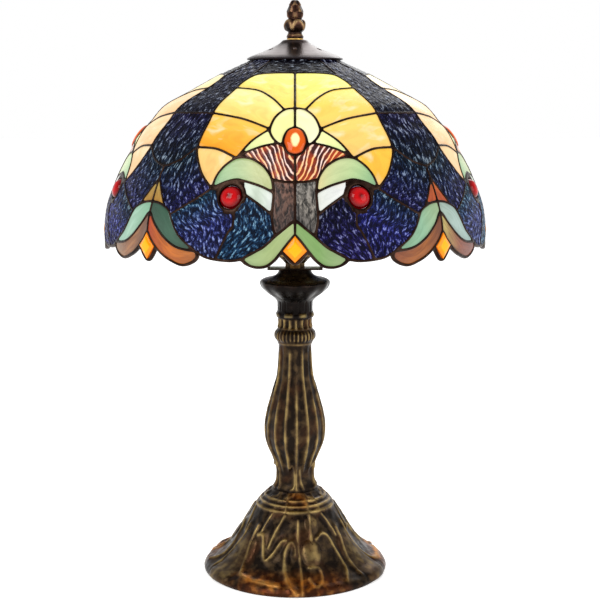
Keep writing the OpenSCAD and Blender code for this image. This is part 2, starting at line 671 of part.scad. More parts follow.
// Ends of the harp's stretches, as [x, z], worked out from its bends
bend_end = [harp_foot_x + flare_r * (1 - cos(flare)), harp_z + leg_h + flare_r * sin(flare)];
side_end = bend_end + side_l * [sin(flare), cos(flare)];
bow_at = side_end + bow_r * [-cos(flare), sin(flare)];
harp_top = bow_at[1] + bow_r;
boss_r = 6;                     // radius of the boss at the top of the harp
boss_h = 5;                     // height of the boss at the top of the harp

// Arc of wire in the XZ plane, about c, from angle a over a sweep of s degrees
module wire_arc(c, r, a, s) {
    translate([c[0], 0, c[1]]) rotate([90, 0, 0]) rotate(a)
        rotate_extrude(angle = s, $fn = fine) translate([r, 0]) circle(r = harp_wire_r, $fn = small);
}

// Bead that joins two stretches of wire at [x, z]
module wire_bead(p) {
    translate([p[0], 0, p[1]]) sphere(r = harp_wire_r + 0.15, $fn = small);
}

module half_harp() {
    slit = 0.1;                 // what each stretch stops short inside its bead
    turn_back = 0.2;            // the same for a bend, in degrees
    translate([harp_foot_x, 0, harp_z]) cylinder(r = harp_wire_r, h = leg_h - slit, $fn = small);
    wire_bead([harp_foot_x, harp_z + leg_h]);
    wire_arc([harp_foot_x + flare_r, harp_z + leg_h], flare_r,
             180 - flare + turn_back, flare - 2 * turn_back);
    wire_bead(bend_end);
    translate([bend_end[0], 0, bend_end[1]]) rotate([0, flare, 0]) translate([0, 0, slit])
        cylinder(r = harp_wire_r, h = side_l - 2 * slit, $fn = small);
    wire_bead(side_end);
    wire_arc(bow_at, bow_r, turn_back - flare, 90 + flare - turn_back);
}

module harp() {
    color("goldenrod") difference() {
        union() {
            half_harp();
            mirror([1, 0, 0]) half_harp();
            translate([0, 0, harp_top - boss_h / 2]) cylinder(r = boss_r, h = boss_h, $fn = small);
        }
        translate([0, 0, harp_top - boss_h]) cylinder(r = stud_r + stud_play, h = 2 * boss_h, $fn = small);
    }
}

sleeve_h = 8;                   // length of the sliding sleeves

module harp_sleeve(x) {
    color("goldenrod") translate([x, 0, harp_z + 0.2]) difference() {
        cylinder(r = 2.9, h = sleeve_h, $fn = small);
        translate([0, 0, -1]) cylinder(r = harp_wire_r + air, h = sleeve_h + 2, $fn = small);
    }
}

module harp_sleeve_left() { harp_sleeve(-harp_foot_x); }
module harp_sleeve_right() { harp_sleeve(harp_foot_x); }

stud_top = finial_z + finial_bore_h - 0.6;  // upper end of the stud

module swivel_stud() {
    boss_top = harp_top + boss_h / 2;
    boss_bottom = harp_top - boss_h / 2;
    color("goldenrod") {
        translate([0, 0, boss_bottom - 2.6])
            cylinder(r = stud_r, h = stud_top - boss_bottom + 2.6, $fn = small);
        translate([0, 0, boss_top + 0.2]) cylinder(r = 8.5, h = hub_z - 0.1 - boss_top - 0.2, $fn = small);
        translate([0, 0, boss_bottom - 2.6]) cylinder(r = 5, h = 2.4, $fn = small);
    }
}

// ---------------------------------------------------------------- socket
socket_z = nut_z + 4;           // underside of the socket's cap
shell_z = socket_z + 13;        // underside of the socket shell
shell_top = 306;                // top of the socket shell
shell_t = 0.8;                  // thickness of the socket shell
liner_t = 0.8;                  // thickness of the paper liner
screw_z = 281;                  // underside of the screw shell

module socket_cap() {
    r = socket_r - 1;
    color("goldenrod") rotate_extrude($fn = small)
        polygon([[rod_r, socket_z], [8.4, socket_z], [11, socket_z + 3], [r - 1, socket_z + 6],
                 [r, socket_z + 8.6], [r, shell_z + 3.2], [r - 1.2, shell_z + 3.2], [r - 1.2, socket_z + 9],
                 [r - 2.4, socket_z + 7.4], [9.6, socket_z + 4.4], [8, socket_z + 2.6],
                 [rod_r, socket_z + 2.6]]);
}

module socket_shell() {
    color("goldenrod") translate([0, 0, shell_z]) difference() {
        union() {
            cylinder(r = socket_r, h = shell_top - shell_z, $fn = small);
            translate([0, 0, shell_top - shell_z - 2]) cylinder(r = socket_r + 0.8, h = 2, $fn = small);
            translate([0, 0, 4]) cylinder(r = socket_r + 0.5, h = 2, $fn = small);
        }
        translate([0, 0, -1]) cylinder(r = socket_r - shell_t, h = 60, $fn = small);
    }
}

module socket_liner() {
    color("tan") translate([0, 0, shell_z + 3.4]) difference() {
        cylinder(r = socket_r - shell_t - 0.05, h = shell_top - shell_z - 4.4, $fn = small);
        translate([0, 0, -1]) cylinder(r = socket_r - shell_t - liner_t, h = 60, $fn = small);
    }
}

module socket_insulator() {
    color("white") translate([0, 0, shell_z + 3.5])
        cylinder(r = socket_r - shell_t - liner_t - 0.1, h = screw_z - shell_z - 3.5, $fn = small);
}

module screw_shell() {
    color("gold") translate([0, 0, screw_z]) difference() {
        cylinder(r = bulb_cap_r + air + 0.6, h = shell_top - screw_z - 3, $fn = small);
        translate([0, 0, -1]) cylinder(r = bulb_cap_r + air, h = 40, $fn = small);
    }
}

module centre_contact() {
    color("gold") translate([0, 0, screw_z]) cylinder(r = 3, h = 1.4, $fn = small);
}

module terminal_screws() {
    color("silver") for (s = [-1, 1]) translate([s * 9, 0, shell_z + 0.7]) {
        cylinder(r = 2.6, h = 1.6, $fn = small);
        cylinder(r = 1.4, h = 2.8, $fn = small);
    }
}

// ---------------------------------------------------------------- bulb
bulb_z = screw_z + 1.6;         // lowest point of the bulb, on its contact
neck_z = bulb_z + 27;           // where the glass leaves the cap
bulb_top = bulb_z + 106;        // top of the bulb
bulb_wall = 0.8;                // thickness of the bulb's glass
neck_r = 11.8;                  // radius of the glass at the cap
globe_z = bulb_top - bulb_r;    // height of the globe's middle
pinch_z = globe_z - 26;         // where the globe runs into the neck

module bulb_solid(inset) {
    rotate_extrude($fn = fine) intersection() {
        union() {
            translate([0, globe_z]) circle(r = bulb_r - inset, $fn = fine);
            polygon([[0, neck_z - 3], [neck_r - inset, neck_z - 3], [neck_r - inset, neck_z + 6],
                     [15.8 - inset, pinch_z - 4], [20.4 - inset, pinch_z + 4],
                     [24.6 - inset, globe_z - 15], [0, globe_z - 15]]);
        }
        translate([0, neck_z - 3 + inset]) square([bulb_r, bulb_top]);
    }
}

module bulb_glass() {
    color("ivory") difference() {
        bulb_solid(0);
        bulb_solid(bulb_wall);
    }
}

// Screw cap with rounded threads, drawn as rings
module bulb_cap() {
    pitch = 3.6;
    threads = [for (k = [0 : 4])
        each [[bulb_cap_r, bulb_z + 7.4 + k * pitch], [bulb_cap_r - 0.6, bulb_z + 9.2 + k * pitch]]];
    color("silver") difference() {
        rotate_extrude($fn = small)
            polygon(concat([[0, bulb_z + 3.6], [9, bulb_z + 3.6], [12, bulb_z + 5.6]], threads,
                           [[bulb_cap_r - 0.2, neck_z], [0, neck_z]]));
        translate([0, 0, bulb_z + 6.2]) cylinder(r = neck_r + 0.05, h = 40, $fn = small);
    }
}

module bulb_insulator() {
    color("black") translate([0, 0, bulb_z + 1.4]) cylinder(r1 = 5, r2 = 9, h = 2.2, $fn = small);
}

module bulb_contact() {
    color("silver") translate([0, 0, bulb_z]) cylinder(r = 3.6, h = 1.4, $fn = small);
}

module filament_mount() {
    color("lightgray") {
        translate([0, 0, neck_z - 3 + bulb_wall]) cylinder(r1 = 7, r2 = 3, h = 22, $fn = small);
        translate([0, 0, neck_z + 18]) cylinder(r = 1.6, h = 26, $fn = small);
    }
}

module filament() {
    z = globe_z + 2;
    color("yellow") for (s = [-1, 1]) {
        translate([s * 2.4, 0, neck_z + 19.8]) cylinder(r = 0.5, h = z - neck_z - 19.8, $fn = small);
        translate([0, 0, z]) rotate([0, 90 * s, 0]) cylinder(r = 0.8, h = 10, $fn = small);
    }
}

foot();
ballast_plate();
felt_pad();
rod_washer();
rod_nut();
threaded_rod();
stem();
urn();
cord_bushing();
harp_saddle();
saddle_nut();
socket_cap();
socket_shell();
socket_liner();
socket_insulator();
screw_shell();
centre_contact();
terminal_screws();
harp();
harp_sleeve_left();
harp_sleeve_right();
swivel_stud();
shade_ring();
shade_spider();
glass_blue_upper();
glass_blue_middle();
glass_blue_lower();
glass_blue_inner();
glass_fan_upper();
glass_fan_second();
glass_fan_third();
glass_fan_lower();
glass_halo();
glass_spandrel();
glass_wing();
glass_arch();
glass_pearl();
glass_trunk();
glass_leaf();
glass_spear();
glass_petal_green();
glass_petal_amber();
jewel_flame();
jewel_ruby();
jewel_diamond();
seams_front();
seams_right();
seams_back();
seams_left();
top_cap();
cap_washer();
finial();
bulb_glass();
bulb_cap();
bulb_insulator();
bulb_contact();
filament_mount();
filament();
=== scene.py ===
"""Looks of a table lamp with a domed leaded-glass shade on a bronzed column.

Lengths are in millimetres until a mesh is made, and angles in degrees. Angle 0 of the dome and of the
column is the front, -Y, and angles grow towards +X. Heights of the shade's pattern are above its datum.
"""

import math

import bpy
import bmesh
import numpy as np
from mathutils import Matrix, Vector, noise


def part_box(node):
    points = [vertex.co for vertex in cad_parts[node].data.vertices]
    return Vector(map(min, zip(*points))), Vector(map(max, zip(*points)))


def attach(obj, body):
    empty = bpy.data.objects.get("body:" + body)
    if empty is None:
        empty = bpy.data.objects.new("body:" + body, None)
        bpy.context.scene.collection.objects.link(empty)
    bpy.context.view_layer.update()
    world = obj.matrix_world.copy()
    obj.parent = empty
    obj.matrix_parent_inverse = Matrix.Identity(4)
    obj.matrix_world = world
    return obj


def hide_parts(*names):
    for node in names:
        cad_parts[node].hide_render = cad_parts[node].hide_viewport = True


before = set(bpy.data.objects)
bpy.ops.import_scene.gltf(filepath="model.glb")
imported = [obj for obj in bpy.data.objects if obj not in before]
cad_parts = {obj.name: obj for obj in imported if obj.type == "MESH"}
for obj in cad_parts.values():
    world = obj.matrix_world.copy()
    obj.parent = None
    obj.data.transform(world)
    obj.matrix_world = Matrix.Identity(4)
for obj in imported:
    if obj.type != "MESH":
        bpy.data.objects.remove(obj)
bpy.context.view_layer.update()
MM = 0.001
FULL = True

# ---------------------------------------- sizes
SHADE_R = 151                   # radius of the middle of the glass where the dome is widest
SHADE_Z = 270                   # height of the shade's datum above the table
GLASS_T = 2.8                   # thickness of the sheet glass
TUCK = 0.7                      # distance from a seam's middle line to the edge of the glass
BEAD_W = 2.8                    # width of a solder bead
BEAD_D = 4.4                    # depth of a solder bead, through the glass
BEAD_STEP = 1.4                 # spacing of the rings of points along a bead
VOXEL = 0.66                    # grain at which the solder beads are fused
RIPPLE_GRID = 1.25              # spacing of the points on rippled glass
PLAIN_GRID = 2.2                # spacing of the points on smooth glass
REPEATS = 4                     # times the pattern goes round the dome
TURN = 360 / REPEATS
HALF = TURN / 2
BULB_Z = 358.6                  # height of the middle of the bulb's globe
BULB_NECK_Z = 309               # height of the bottom of the bulb's neck
FULL_LIGHT = 132                # distance from the bulb at which the painted light of a pane is at its own strength
PAINTED_SOLDER_SHADOW = 2.6                # how far the painted shadow of the solder reaches into a pane

# Radius of the dome, as a fraction of SHADE_R, at heights above the datum
DOME = [(-6, 0.996), (0, 0.998), (15, 1), (32, 0.987), (49.5, 0.948), (69.5, 0.887), (87, 0.823),
        (100, 0.748), (112, 0.675), (123.5, 0.539), (135.5, 0.393), (146.5, 0.235), (152, 0.16)]


# ---------------------------------------- curves
def smooth(points, sub=6):
    """A smooth curve through the points, with sub steps on each stretch."""
    p = np.asarray(points, float)
    if len(p) < 3:
        return p
    ends = np.vstack([p[:1], p, p[-1:]])
    t = np.arange(sub)[:, None] / sub
    made = []
    for i in range(len(p) - 1):
        a, b, c, d = ends[i:i + 4]
        made.append(0.5 * (2 * b + (c - a) * t + (2 * a - 5 * b + 4 * c - d) * t ** 2
                           + (3 * b - a - 3 * c + d) * t ** 3))
    return np.vstack(made + [p[-1:]])


def along(points):
    """Distance run to each of the points, in whatever space they are in."""
    gaps = np.linalg.norm(np.diff(points, axis=0), axis=1)
    return np.concatenate([[0], np.cumsum(gaps)])


def resample(points, spacing):
    """The line through the points, in equal steps of about the given length."""
    s = along(points)
    n = max(2, round(s[-1] / spacing))
    at = np.linspace(0, s[-1], n + 1)
    return np.stack([np.interp(at, s, column) for column in points.T], axis=1)


def mirrored(c, about=0.0):
    return [(2 * about - a, h) for a, h in c]


def join(*curves):
    """Curves that follow each other, as one."""
    made = list(curves[0])
    for c in curves[1:]:
        made += list(c[1:])
    return made


def both_sides(c, about=0.0):
    """A curve that starts on a mirror line, with its mirror image."""
    return join(mirrored(c, about)[::-1], c)


def through(c, about=0.0):
    """A curve that ends on a mirror line, with its mirror image."""
    return join(c, mirrored(c, about)[::-1])


# ---------------------------------------- dome
DOME_LINE = smooth(DOME, 12)


def dome_r(h):
    return SHADE_R * np.interp(h, DOME_LINE[:, 0], DOME_LINE[:, 1])


def on_dome(p, lift=0.0):
    """Points of the dome at angle and height p, raised by lift along the outward normal."""
    p = np.asarray(p, float)
    angle, h = np.radians(p[..., 0]), p[..., 1]
    step = 2.0
    slope = (dome_r(h + step) - dome_r(h - step)) / (2 * step)
    size = np.sqrt(1 + slope ** 2)
    r = dome_r(h) + lift / size
    return np.stack([r * np.sin(angle), -r * np.cos(angle), SHADE_Z + h - lift * slope / size], axis=-1)


def off_dome(q):
    return np.stack([np.degrees(np.arctan2(q[..., 0], -q[..., 1])), q[..., 2] - SHADE_Z], axis=-1)


def steps(c, n, start=0.0, end=0.0):
    """The curve c in n equal steps, leaving out the given lengths at its start and end."""
    p = smooth(c, 8)
    s = along(on_dome(p))
    at = np.linspace(start, s[-1] - end, n + 1)
    return np.stack([np.interp(at, s, p[:, 0]), np.interp(at, s, p[:, 1])], axis=1)


def length(c):
    return along(on_dome(smooth(c, 8)))[-1]


# ---------------------------------------- seams
# Points are (angle from the middle of the repeat, height above the datum).
FAN_TOP = [(0, 136), (15, 136), (27, 135), (31, 132.5)]
FAN_CORNER = [(31, 132.5), (33, 129), (33.3, 125)]
FAN_SIDE = [(33.3, 125), (33.5, 107)]
FAN_FLANK = [(33.5, 107), (33.2, 83)]
FAN_LOW = [(33.2, 83), (32.5, 78.3), (31.5, 74), (28.6, 64), (24.5, 55)]
RAY_1 = [(4, 109.3), (9.7, 117), (19, 123), (33.3, 125)]
RAY_2 = [(8.7, 96), (19.6, 103), (33.5, 107)]
RAY_3 = [(18.3, 76), (25.5, 82), (33.2, 83)]
HALO_TOP = [(0, 110.3), (4, 109.3)]
HALO_SIDE = [(4, 109.3), (7.4, 104), (8.7, 96)]
HALO_LOW = [(8.7, 96), (7.6, 90.5), (5.4, 86.3)]
HALO_END = [(5.4, 86.3), (3.4, 84)]
FLAME_SIDE = [(0, 97), (2.7, 94.5), (3.9, 88), (3.4, 84)]
FLAME_LOW = [(3.4, 84), (2.4, 80), (0, 78)]
FAN_IN = [(8.7, 96), (14.3, 87.5), (18.3, 76)]
WING_TOP = [(5.4, 86.3), (10, 84.5), (14.5, 81), (18.3, 76)]
ARCH_TIP = [(24.5, 55), (23.6, 64), (21.5, 71), (18.3, 76)]
ARCH_TOP = [(18.3, 76), (14.5, 76.3), (11.3, 73.5), (8.7, 69), (6.7, 62)]
ARCH_OUTER = [(24.5, 55), (21, 59.2), (17.5, 61.4), (15, 60.6)]
ARCH_INNER = [(15, 60.6), (10, 57.3), (6, 53)]
ARCH_END = [(6.7, 62), (6, 53)]
TRUNK_TOP = [(6.7, 62), (3.3, 60.3), (0, 60)]
TRUNK_SIDE = [(6, 53), (6.2, 38)]
TRUNK_FOOT = [(6.2, 38), (5.9, 30.5), (5.3, 23.5)]
PEARL_LOW = [(6.2, 38), (10, 45), (14.5, 52)]
LEAF_TOP = [(0, 34), (2.8, 28.7), (5.3, 23.5)]
LEAF_OUT = [(5.3, 23.5), (7, 19.2), (9, 15), (14, 7.5)]
LEAF_LOW = [(14, 7.5), (11.5, 2.5), (8, 2.5), (5.5, 7), (3.5, 13.5)]
LEAF_IN = [(3.5, 13.5), (1.9, 19), (0, 25)]
POINT_A = [(3.5, 13.5), (0, 4.5)]
SWEEP = [(17, 41), (16.7, 31), (18.4, 24), (21.7, 6.5)]
HEM_IN = [(14, 7.5), (17.5, 6), (21.7, 6.5)]
HEM_OUT = [(21.7, 6.5), (24.8, 8), (27.5, 11.5)]
BROW = [(24.5, 55), (29.3, 47), (36.8, 36)]
SHOULDER = [(33.2, 83), (38, 75), (41.4, 71.4), (45, 69.5)]
COLLAR = [(33.5, 107), (45, 107)]
CROWN_SIDE = [(31, 132.5), (31, 147)]
CROWN_RIM = [(0, 147), (15, 147), (31, 147)]
COLUMN_RIM = [(31, 147), (45, 147)]
GREEN_TOP = [(45, 44), (41.8, 43.2), (39.5, 41.2)]
GREEN_KNEE = [(39.5, 41.2), (37.8, 39), (36.8, 36)]
GREEN_OUT = [(36.8, 36), (33.2, 22), (27.5, 11.5)]
GREEN_IN = [(45, 36.5), (42, 28), (38, 19), (33.5, 13.3), (27.5, 11.5)]
AMBER_LOW = [(27.5, 11.5), (27.3, 7), (29.2, 3), (32.5, 1), (36.8, 4.5), (39.6, 8.5), (41.5, 12.5)]
AMBER_IN = [(41.5, 12.5), (43.4, 17.5), (45, 23)]
POINT_B = [(41.5, 12.5), (45, 2)]
SPEAR_SIDE = [(39.5, 41.2), (45, 61)]
# Straight seams on the two mirror lines
FAN_AXIS = [(0, 136), (0, 110.3)]
HALO_AXIS = [(0, 110.3), (0, 97)]
WING_AXIS = [(0, 78), (0, 60)]
TRUNK_AXIS = [(0, 60), (0, 34)]
LEAF_AXIS = [(0, 34), (0, 25)]
BLUE_AXIS = [(45, 69.5), (45, 61)]
SPEAR_AXIS = [(45, 61), (45, 44)]
GREEN_AXIS = [(45, 44), (45, 36.5)]
AMBER_AXIS = [(45, 36.5), (45, 23)]

RUBY_AT = (18.3, 49.6)          # middle of the ring round a ruby
RUBY_RING_R = 9.2               # radius of the ring's middle line
RUBY_R = 8.3                    # radius of the jewel


def ruby_ring(a, b, n, r=RUBY_RING_R):
    """A ring round a ruby, from angle a to b in n steps, 0 towards the mirror line."""
    scale = math.degrees(1) / dome_r(RUBY_AT[1])
    turns = [math.radians(a + (b - a) * i / n) for i in range(n + 1)]
    return [(RUBY_AT[0] - r * math.cos(t) * scale, RUBY_AT[1] + r * math.sin(t)) for t in turns]


# ---------------------------------------- meshes
def linear(rgb):
    """Scene-linear colour of a display colour whose channels run from 0 to 255."""
    c = np.asarray(rgb, float) / 255
    return np.where(c <= 0.04045, c / 12.92, ((c + 0.055) / 1.055) ** 2.4)


def rgba(rgb):
    return (*linear(rgb), 1.0)


def cloud(points, seed=0.0):
    """Smooth noise from about -1 to 1 at the points."""
    return np.array([noise.noise((x, y, z + seed)) for x, y, z in np.asarray(points).tolist()])


def new_object(name, data):
    made = bpy.data.objects.new(name, data)
    bpy.context.scene.collection.objects.link(made)
    return made


def piece(name, points, faces, body, material, stands_for=(), marks=None, weld=False):
    """A smooth mesh piece from points in mm. marks are values kept for each point."""
    mesh = bpy.data.meshes.new(name)
    mesh.from_pydata((np.asarray(points) * MM).tolist(), [], faces)
    for mark, values in (marks or {}).items():
        values = np.asarray(values, float)
        if values.ndim == 1:
            mesh.attributes.new(mark, "FLOAT", "POINT").data.foreach_set("value", values)
        elif mark == "tone":
            full = np.hstack([values, np.ones((len(values), 1))])
            mesh.attributes.new(mark, "FLOAT_COLOR", "POINT").data.foreach_set("color", full.ravel())
        else:
            mesh.attributes.new(mark, "FLOAT_VECTOR", "POINT").data.foreach_set("vector", values.ravel())
    if weld:
        shape = bmesh.new()
        shape.from_mesh(mesh)
        bmesh.ops.remove_doubles(shape, verts=shape.verts, dist=0.002 * MM)
        bmesh.ops.recalc_face_normals(shape, faces=shape.faces)
        shape.to_mesh(mesh)
        shape.free()
    mesh.shade_smooth()
    mesh.materials.append(material)
    made = new_object(name, mesh)
    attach(made, body)
    if stands_for:
        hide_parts(*stands_for)
    return made


def applied(source, *modifiers):
    """A copy of the object's mesh with the modifiers, each a type and its settings, applied."""
    for kind, settings in modifiers:
        added = source.modifiers.new(kind.lower(), kind)
        for key, value in settings.items():
            setattr(added, key, value)
    mesh = bpy.data.meshes.new_from_object(source.evaluated_get(bpy.context.evaluated_depsgraph_get()))
    source.modifiers.clear()
    return mesh


def cut(source, shape, middle=(0, 0, 0), tilt=0.0):
    """Take the shape, tilted about X and then set at middle, out of the object."""
    mesh = bpy.data.meshes.new("cutter")
    shape.to_mesh(mesh)
    shape.free()
    cutter = new_object("cutter", mesh)
    cutter.location = middle
    cutter.rotation_euler = (math.radians(tilt), 0, 0)
    bpy.context.view_layer.update()
    source.data = applied(source, ("BOOLEAN", dict(operation="DIFFERENCE", solver="EXACT", object=cutter)))
    bpy.data.objects.remove(cutter)


def points_of(mesh):
    """The mesh's points in mm."""
    flat = np.empty(len(mesh.vertices) * 3)
    mesh.vertices.foreach_get("co", flat)
    return flat.reshape(-1, 3) / MM


# ---------------------------------------- nodes
def new_material(name, **sockets):
    """A material with its shader's plain values, and its node tree."""
    material = bpy.data.materials.new(name)
    material.use_nodes = True
    tree = material.node_tree
    shader = tree.nodes["Principled BSDF"]
    for key, value in sockets.items():
        shader.inputs[key.replace("_", " ")].default_value = value
    return material, tree, shader


def feed(tree, socket, value):
    """Give a socket its value, which may be another node's output."""
    if isinstance(value, bpy.types.NodeSocket):
        tree.links.new(value, socket)
    else:
        socket.default_value = value


def add(tree, kind, inputs=None, **settings):
    """A shader node with its settings, and its inputs by name or number."""
    made = tree.nodes.new("ShaderNode" + kind)
    for key, value in settings.items():
        setattr(made, key, value)
    for key, value in (inputs or {}).items():
        feed(tree, made.inputs[key], value)
    return made


def mark(tree, name, output="Fac"):
    return add(tree, "Attribute", attribute_name=name).outputs[output]


def place(tree):
    return add(tree, "TexCoord").outputs["Object"]


def scaled(tree, vector, scale, turn=0.0):
    inputs = {"Vector": vector, "Scale": scale, "Rotation": (0, 0, math.radians(turn))}
    return add(tree, "Mapping", inputs).outputs["Vector"]


def grain(tree, vector, scale, detail=3.0, distortion=0.0, roughness=0.5):
    inputs = {"Vector": vector, "Scale": scale, "Detail": detail, "Distortion": distortion,
              "Roughness": roughness}
    return add(tree, "TexNoise", inputs).outputs["Fac"]


def ramp(tree, factor, stops):
    """Colours, or grey levels, at places from 0 to 1."""
    node = add(tree, "ValToRGB", {"Fac": factor})
    elements = node.color_ramp.elements
    while len(elements) < len(stops):
        elements.new(0.5)
    for element, (at, value) in zip(elements, stops):
        element.position = at
        element.color = (value, value, value, 1) if isinstance(value, (int, float)) else rgba(value)
    return node.outputs["Color"]


def mix(tree, factor, a, b, blend="MIX"):
    """Two colours, blended; a mix node's colour sockets are 6 and 7, and its colour output is 2."""
    return add(tree, "Mix", {0: factor, 6: a, 7: b}, data_type="RGBA", blend_type=blend).outputs[2]


def math_node(tree, operation, a, b):
    return add(tree, "Math", {0: a, 1: b}, operation=operation).outputs[0]


def swing(tree, level, about, gain):
    """How far the level is from the value about, times the gain."""
    return math_node(tree, "MULTIPLY", math_node(tree, "SUBTRACT", level, about), gain)


def height_of(tree, vector):
    return add(tree, "SeparateXYZ", {"Vector": vector}).outputs["Z"]


def bump(tree, shader, height, strength, distance):
    inputs = {"Height": height, "Strength": strength, "Distance": distance * MM}
    tree.links.new(add(tree, "Bump", inputs).outputs["Normal"], shader.inputs["Normal"])


def link(tree, output, shader, socket):
    tree.links.new(output, shader.inputs[socket])


# ---------------------------------------- glass
def painted_backlight(tree, shader, colour, dim=0.28):
    """Painted backlight: an emission in the glass's own colour, times its painted light mark, stands in for
    the bulb shining through it; the base colour is dimmer, for plain light.
    """
    link(tree, mix(tree, 1.0, colour, (dim, dim, dim, 1), "MULTIPLY"), shader, "Base Color")
    link(tree, mix(tree, 1.0, colour, mark(tree, "painted_glow", "Color"), "MULTIPLY"), shader, "Emission Color")


def opal_glass(name, wisps=0.16):
    """Opalescent sheet: cloudy wisps over the tone of each pane, and a gently uneven surface."""
    material, tree, shader = new_material(name, Roughness=0.3, Specular_IOR_Level=0.2, Coat_Weight=0.08,
                                          Coat_Roughness=0.06, Emission_Strength=0.8)
    flow = mark(tree, "flow", "Vector")
    clouds = grain(tree, scaled(tree, flow, (0.045, 0.10, 1)), 1.0, 3.0, 0.8)
    shade = ramp(tree, clouds, [(0.3, 1 - wisps), (0.5, 1.0), (0.72, 1.0)])
    toned = mix(tree, 1.0, mark(tree, "tone", "Color"), shade, "MULTIPLY")
    wide = grain(tree, scaled(tree, flow, (0.03, 0.07, 1)), 1.7, 2.0, 1.0)
    milk = ramp(tree, wide, [(0.52, 0.0), (0.8, 0.5)])
    colour = mix(tree, milk, toned, (1.0, 0.93, 0.74, 1))
    painted_backlight(tree, shader, colour)
    bump(tree, shader, grain(tree, flow, 0.25, 2.0), 0.25, 0.5)
    return material


def cathedral_glass(name, wisps, dark=(0.55, 0.6, 0.55)):
    """Translucent coloured sheet with darker drawn-out wisps along the pane."""
    material, tree, shader = new_material(name, Roughness=0.25, Specular_IOR_Level=0.3, Coat_Weight=0.2,
                                          Coat_Roughness=0.05, Emission_Strength=0.8)
    flow = mark(tree, "flow", "Vector")
    drawn = grain(tree, scaled(tree, flow, (0.05, 0.22, 1)), 1.0, 4.0, 1.2)
    amount = ramp(tree, drawn, [(0.36, wisps), (0.62, 0.0)])
    tone = mark(tree, "tone", "Color")
    darker = mix(tree, 1.0, tone, (*dark, 1), "MULTIPLY")
    colour = mix(tree, amount, tone, darker)
    painted_backlight(tree, shader, colour)
    bump(tree, shader, grain(tree, flow, 0.3, 2.0), 0.25, 0.5)
    return material


def streaky_glass(name):
    """Red-brown sheet with pinkish-white and orange streaks running down to the middle."""
    material, tree, shader = new_material(name, Roughness=0.18, Specular_IOR_Level=0.3, Coat_Weight=0.2,
                                          Coat_Roughness=0.05, Emission_Strength=0.9)
    flow = scaled(tree, mark(tree, "flow", "Vector"), (1, 1, 1), turn=54)
    bands = add(tree, "TexWave", {"Vector": flow, "Scale": 0.075, "Distortion": 7.0, "Detail": 3.5,
                                  "Detail Scale": 0.9}, bands_direction="Y").outputs["Fac"]
    hot = grain(tree, flow, 0.09, 2.0)
    base = mix(tree, ramp(tree, hot, [(0.42, 0.0), (0.66, 1.0)]), rgba((58, 22, 20)), rgba((156, 54, 24)))
    pale = mix(tree, ramp(tree, hot, [(0.4, 0.0), (0.6, 1.0)]), rgba((244, 214, 204)), rgba((255, 190, 120)))
    colour = mix(tree, ramp(tree, bands, [(0.6, 0.0), (0.76, 0.3), (0.94, 1.0)]), base, pale)
    painted_backlight(tree, shader, colour, 0.4)
    bump(tree, shader, bands, 0.3, 0.4)
    return material


def mottled_glass(name):
    """Dense brown-grey sheet, mottled like stone."""
    material, tree, shader = new_material(name, Roughness=0.3, Specular_IOR_Level=0.3, Coat_Weight=0.15,
                                          Coat_Roughness=0.1, Emission_Strength=0.7)
    flow = mark(tree, "flow", "Vector")
    spots = grain(tree, scaled(tree, flow, (0.16, 0.4, 1)), 1.0, 6.0, 0.6, 0.65)
    shade = ramp(tree, spots, [(0.4, 0.05), (0.5, 0.65), (0.59, 1.6)])
    colour = mix(tree, 1.0, mark(tree, "tone", "Color"), shade, "MULTIPLY")
    painted_backlight(tree, shader, colour, 0.5)
    bump(tree, shader, spots, 0.6, 0.8)
    return material


def rippled_glass(name):
    """Deep blue rippled sheet, with painted shade in the troughs and painted highlights that sparkle on the
    crests.
    """
    material, tree, shader = new_material(name, Roughness=0.25, Specular_IOR_Level=0.06,
                                          Emission_Strength=0.9)
    tone = mark(tree, "tone", "Color")
    flow = mark(tree, "flow", "Vector")
    fine = grain(tree, scaled(tree, flow, (0.45, 1.4, 1)), 1.0, 4.0, 1.0)
    level = math_node(tree, "ADD", mark(tree, "relief"), swing(tree, fine, 0.5, 1.7))
    # painted shade: the tone darkened where the ripples are low
    dark = mix(tree, 1.0, tone, (0.08, 0.06, 0.07, 1), "MULTIPLY")
    body = mix(tree, ramp(tree, level, [(0.42, 0.0), (0.92, 1.0)]), dark, tone)
    # painted highlight: a whitened tone for the crests
    bright = mix(tree, 1.0, mix(tree, 1.0, tone, (2.2, 2.2, 1.3, 1), "MULTIPLY"), (0.2, 0.23, 0.27, 1), "ADD")
    painted_crest_sparkle = mix(tree, ramp(tree, level, [(0.76, 0.0), (0.94, 1.0)]), body, bright)
    painted_backlight(tree, shader, painted_crest_sparkle, 0.2)
    bump(tree, shader, fine, 0.7, 0.5)
    return material


def jewel_glass_painted_light(name, deep, bright, core, painted_glow, middle=0.85):
    """Pressed clear glass with its light painted in. The colour goes from deep to bright, and past middle to
    core, as the mark called relief grows: from the rim inwards on a pane, painting shade at the rim and a
    highlight on the crown, and outwards on a ruby, painting a dark middle inside a bright ring of reflected
    light."""
    material, tree, shader = new_material(name, Roughness=0.06, Specular_IOR_Level=0.22, Coat_Weight=0.06,
                                          Coat_Roughness=0.02, Emission_Strength=painted_glow)
    level = math_node(tree, "ADD", mark(tree, "relief"),
                      math_node(tree, "MULTIPLY", grain(tree, place(tree), 260.0, 2.0), 0.12))
    colour = ramp(tree, level, [(0.1, deep), (0.45, bright), (middle, bright), (1.0, core)])
    painted_backlight(tree, shader, colour, 0.5)
    return material


# ---------------------------------------- panes
def tip(a, b):
    """How far from their common start two curves are wide enough apart to hold glass between them."""
    wide = 2 * TUCK + 0.15
    shortest = min(length(a), length(b))
    for s in np.arange(0.5, shortest * 0.6, 0.25):
        p, q = (on_dome(steps(c, 1, s, 0)[0]) for c in (a, b))
        if np.linalg.norm(p - q) > wide:
            return s
    return shortest * 0.6


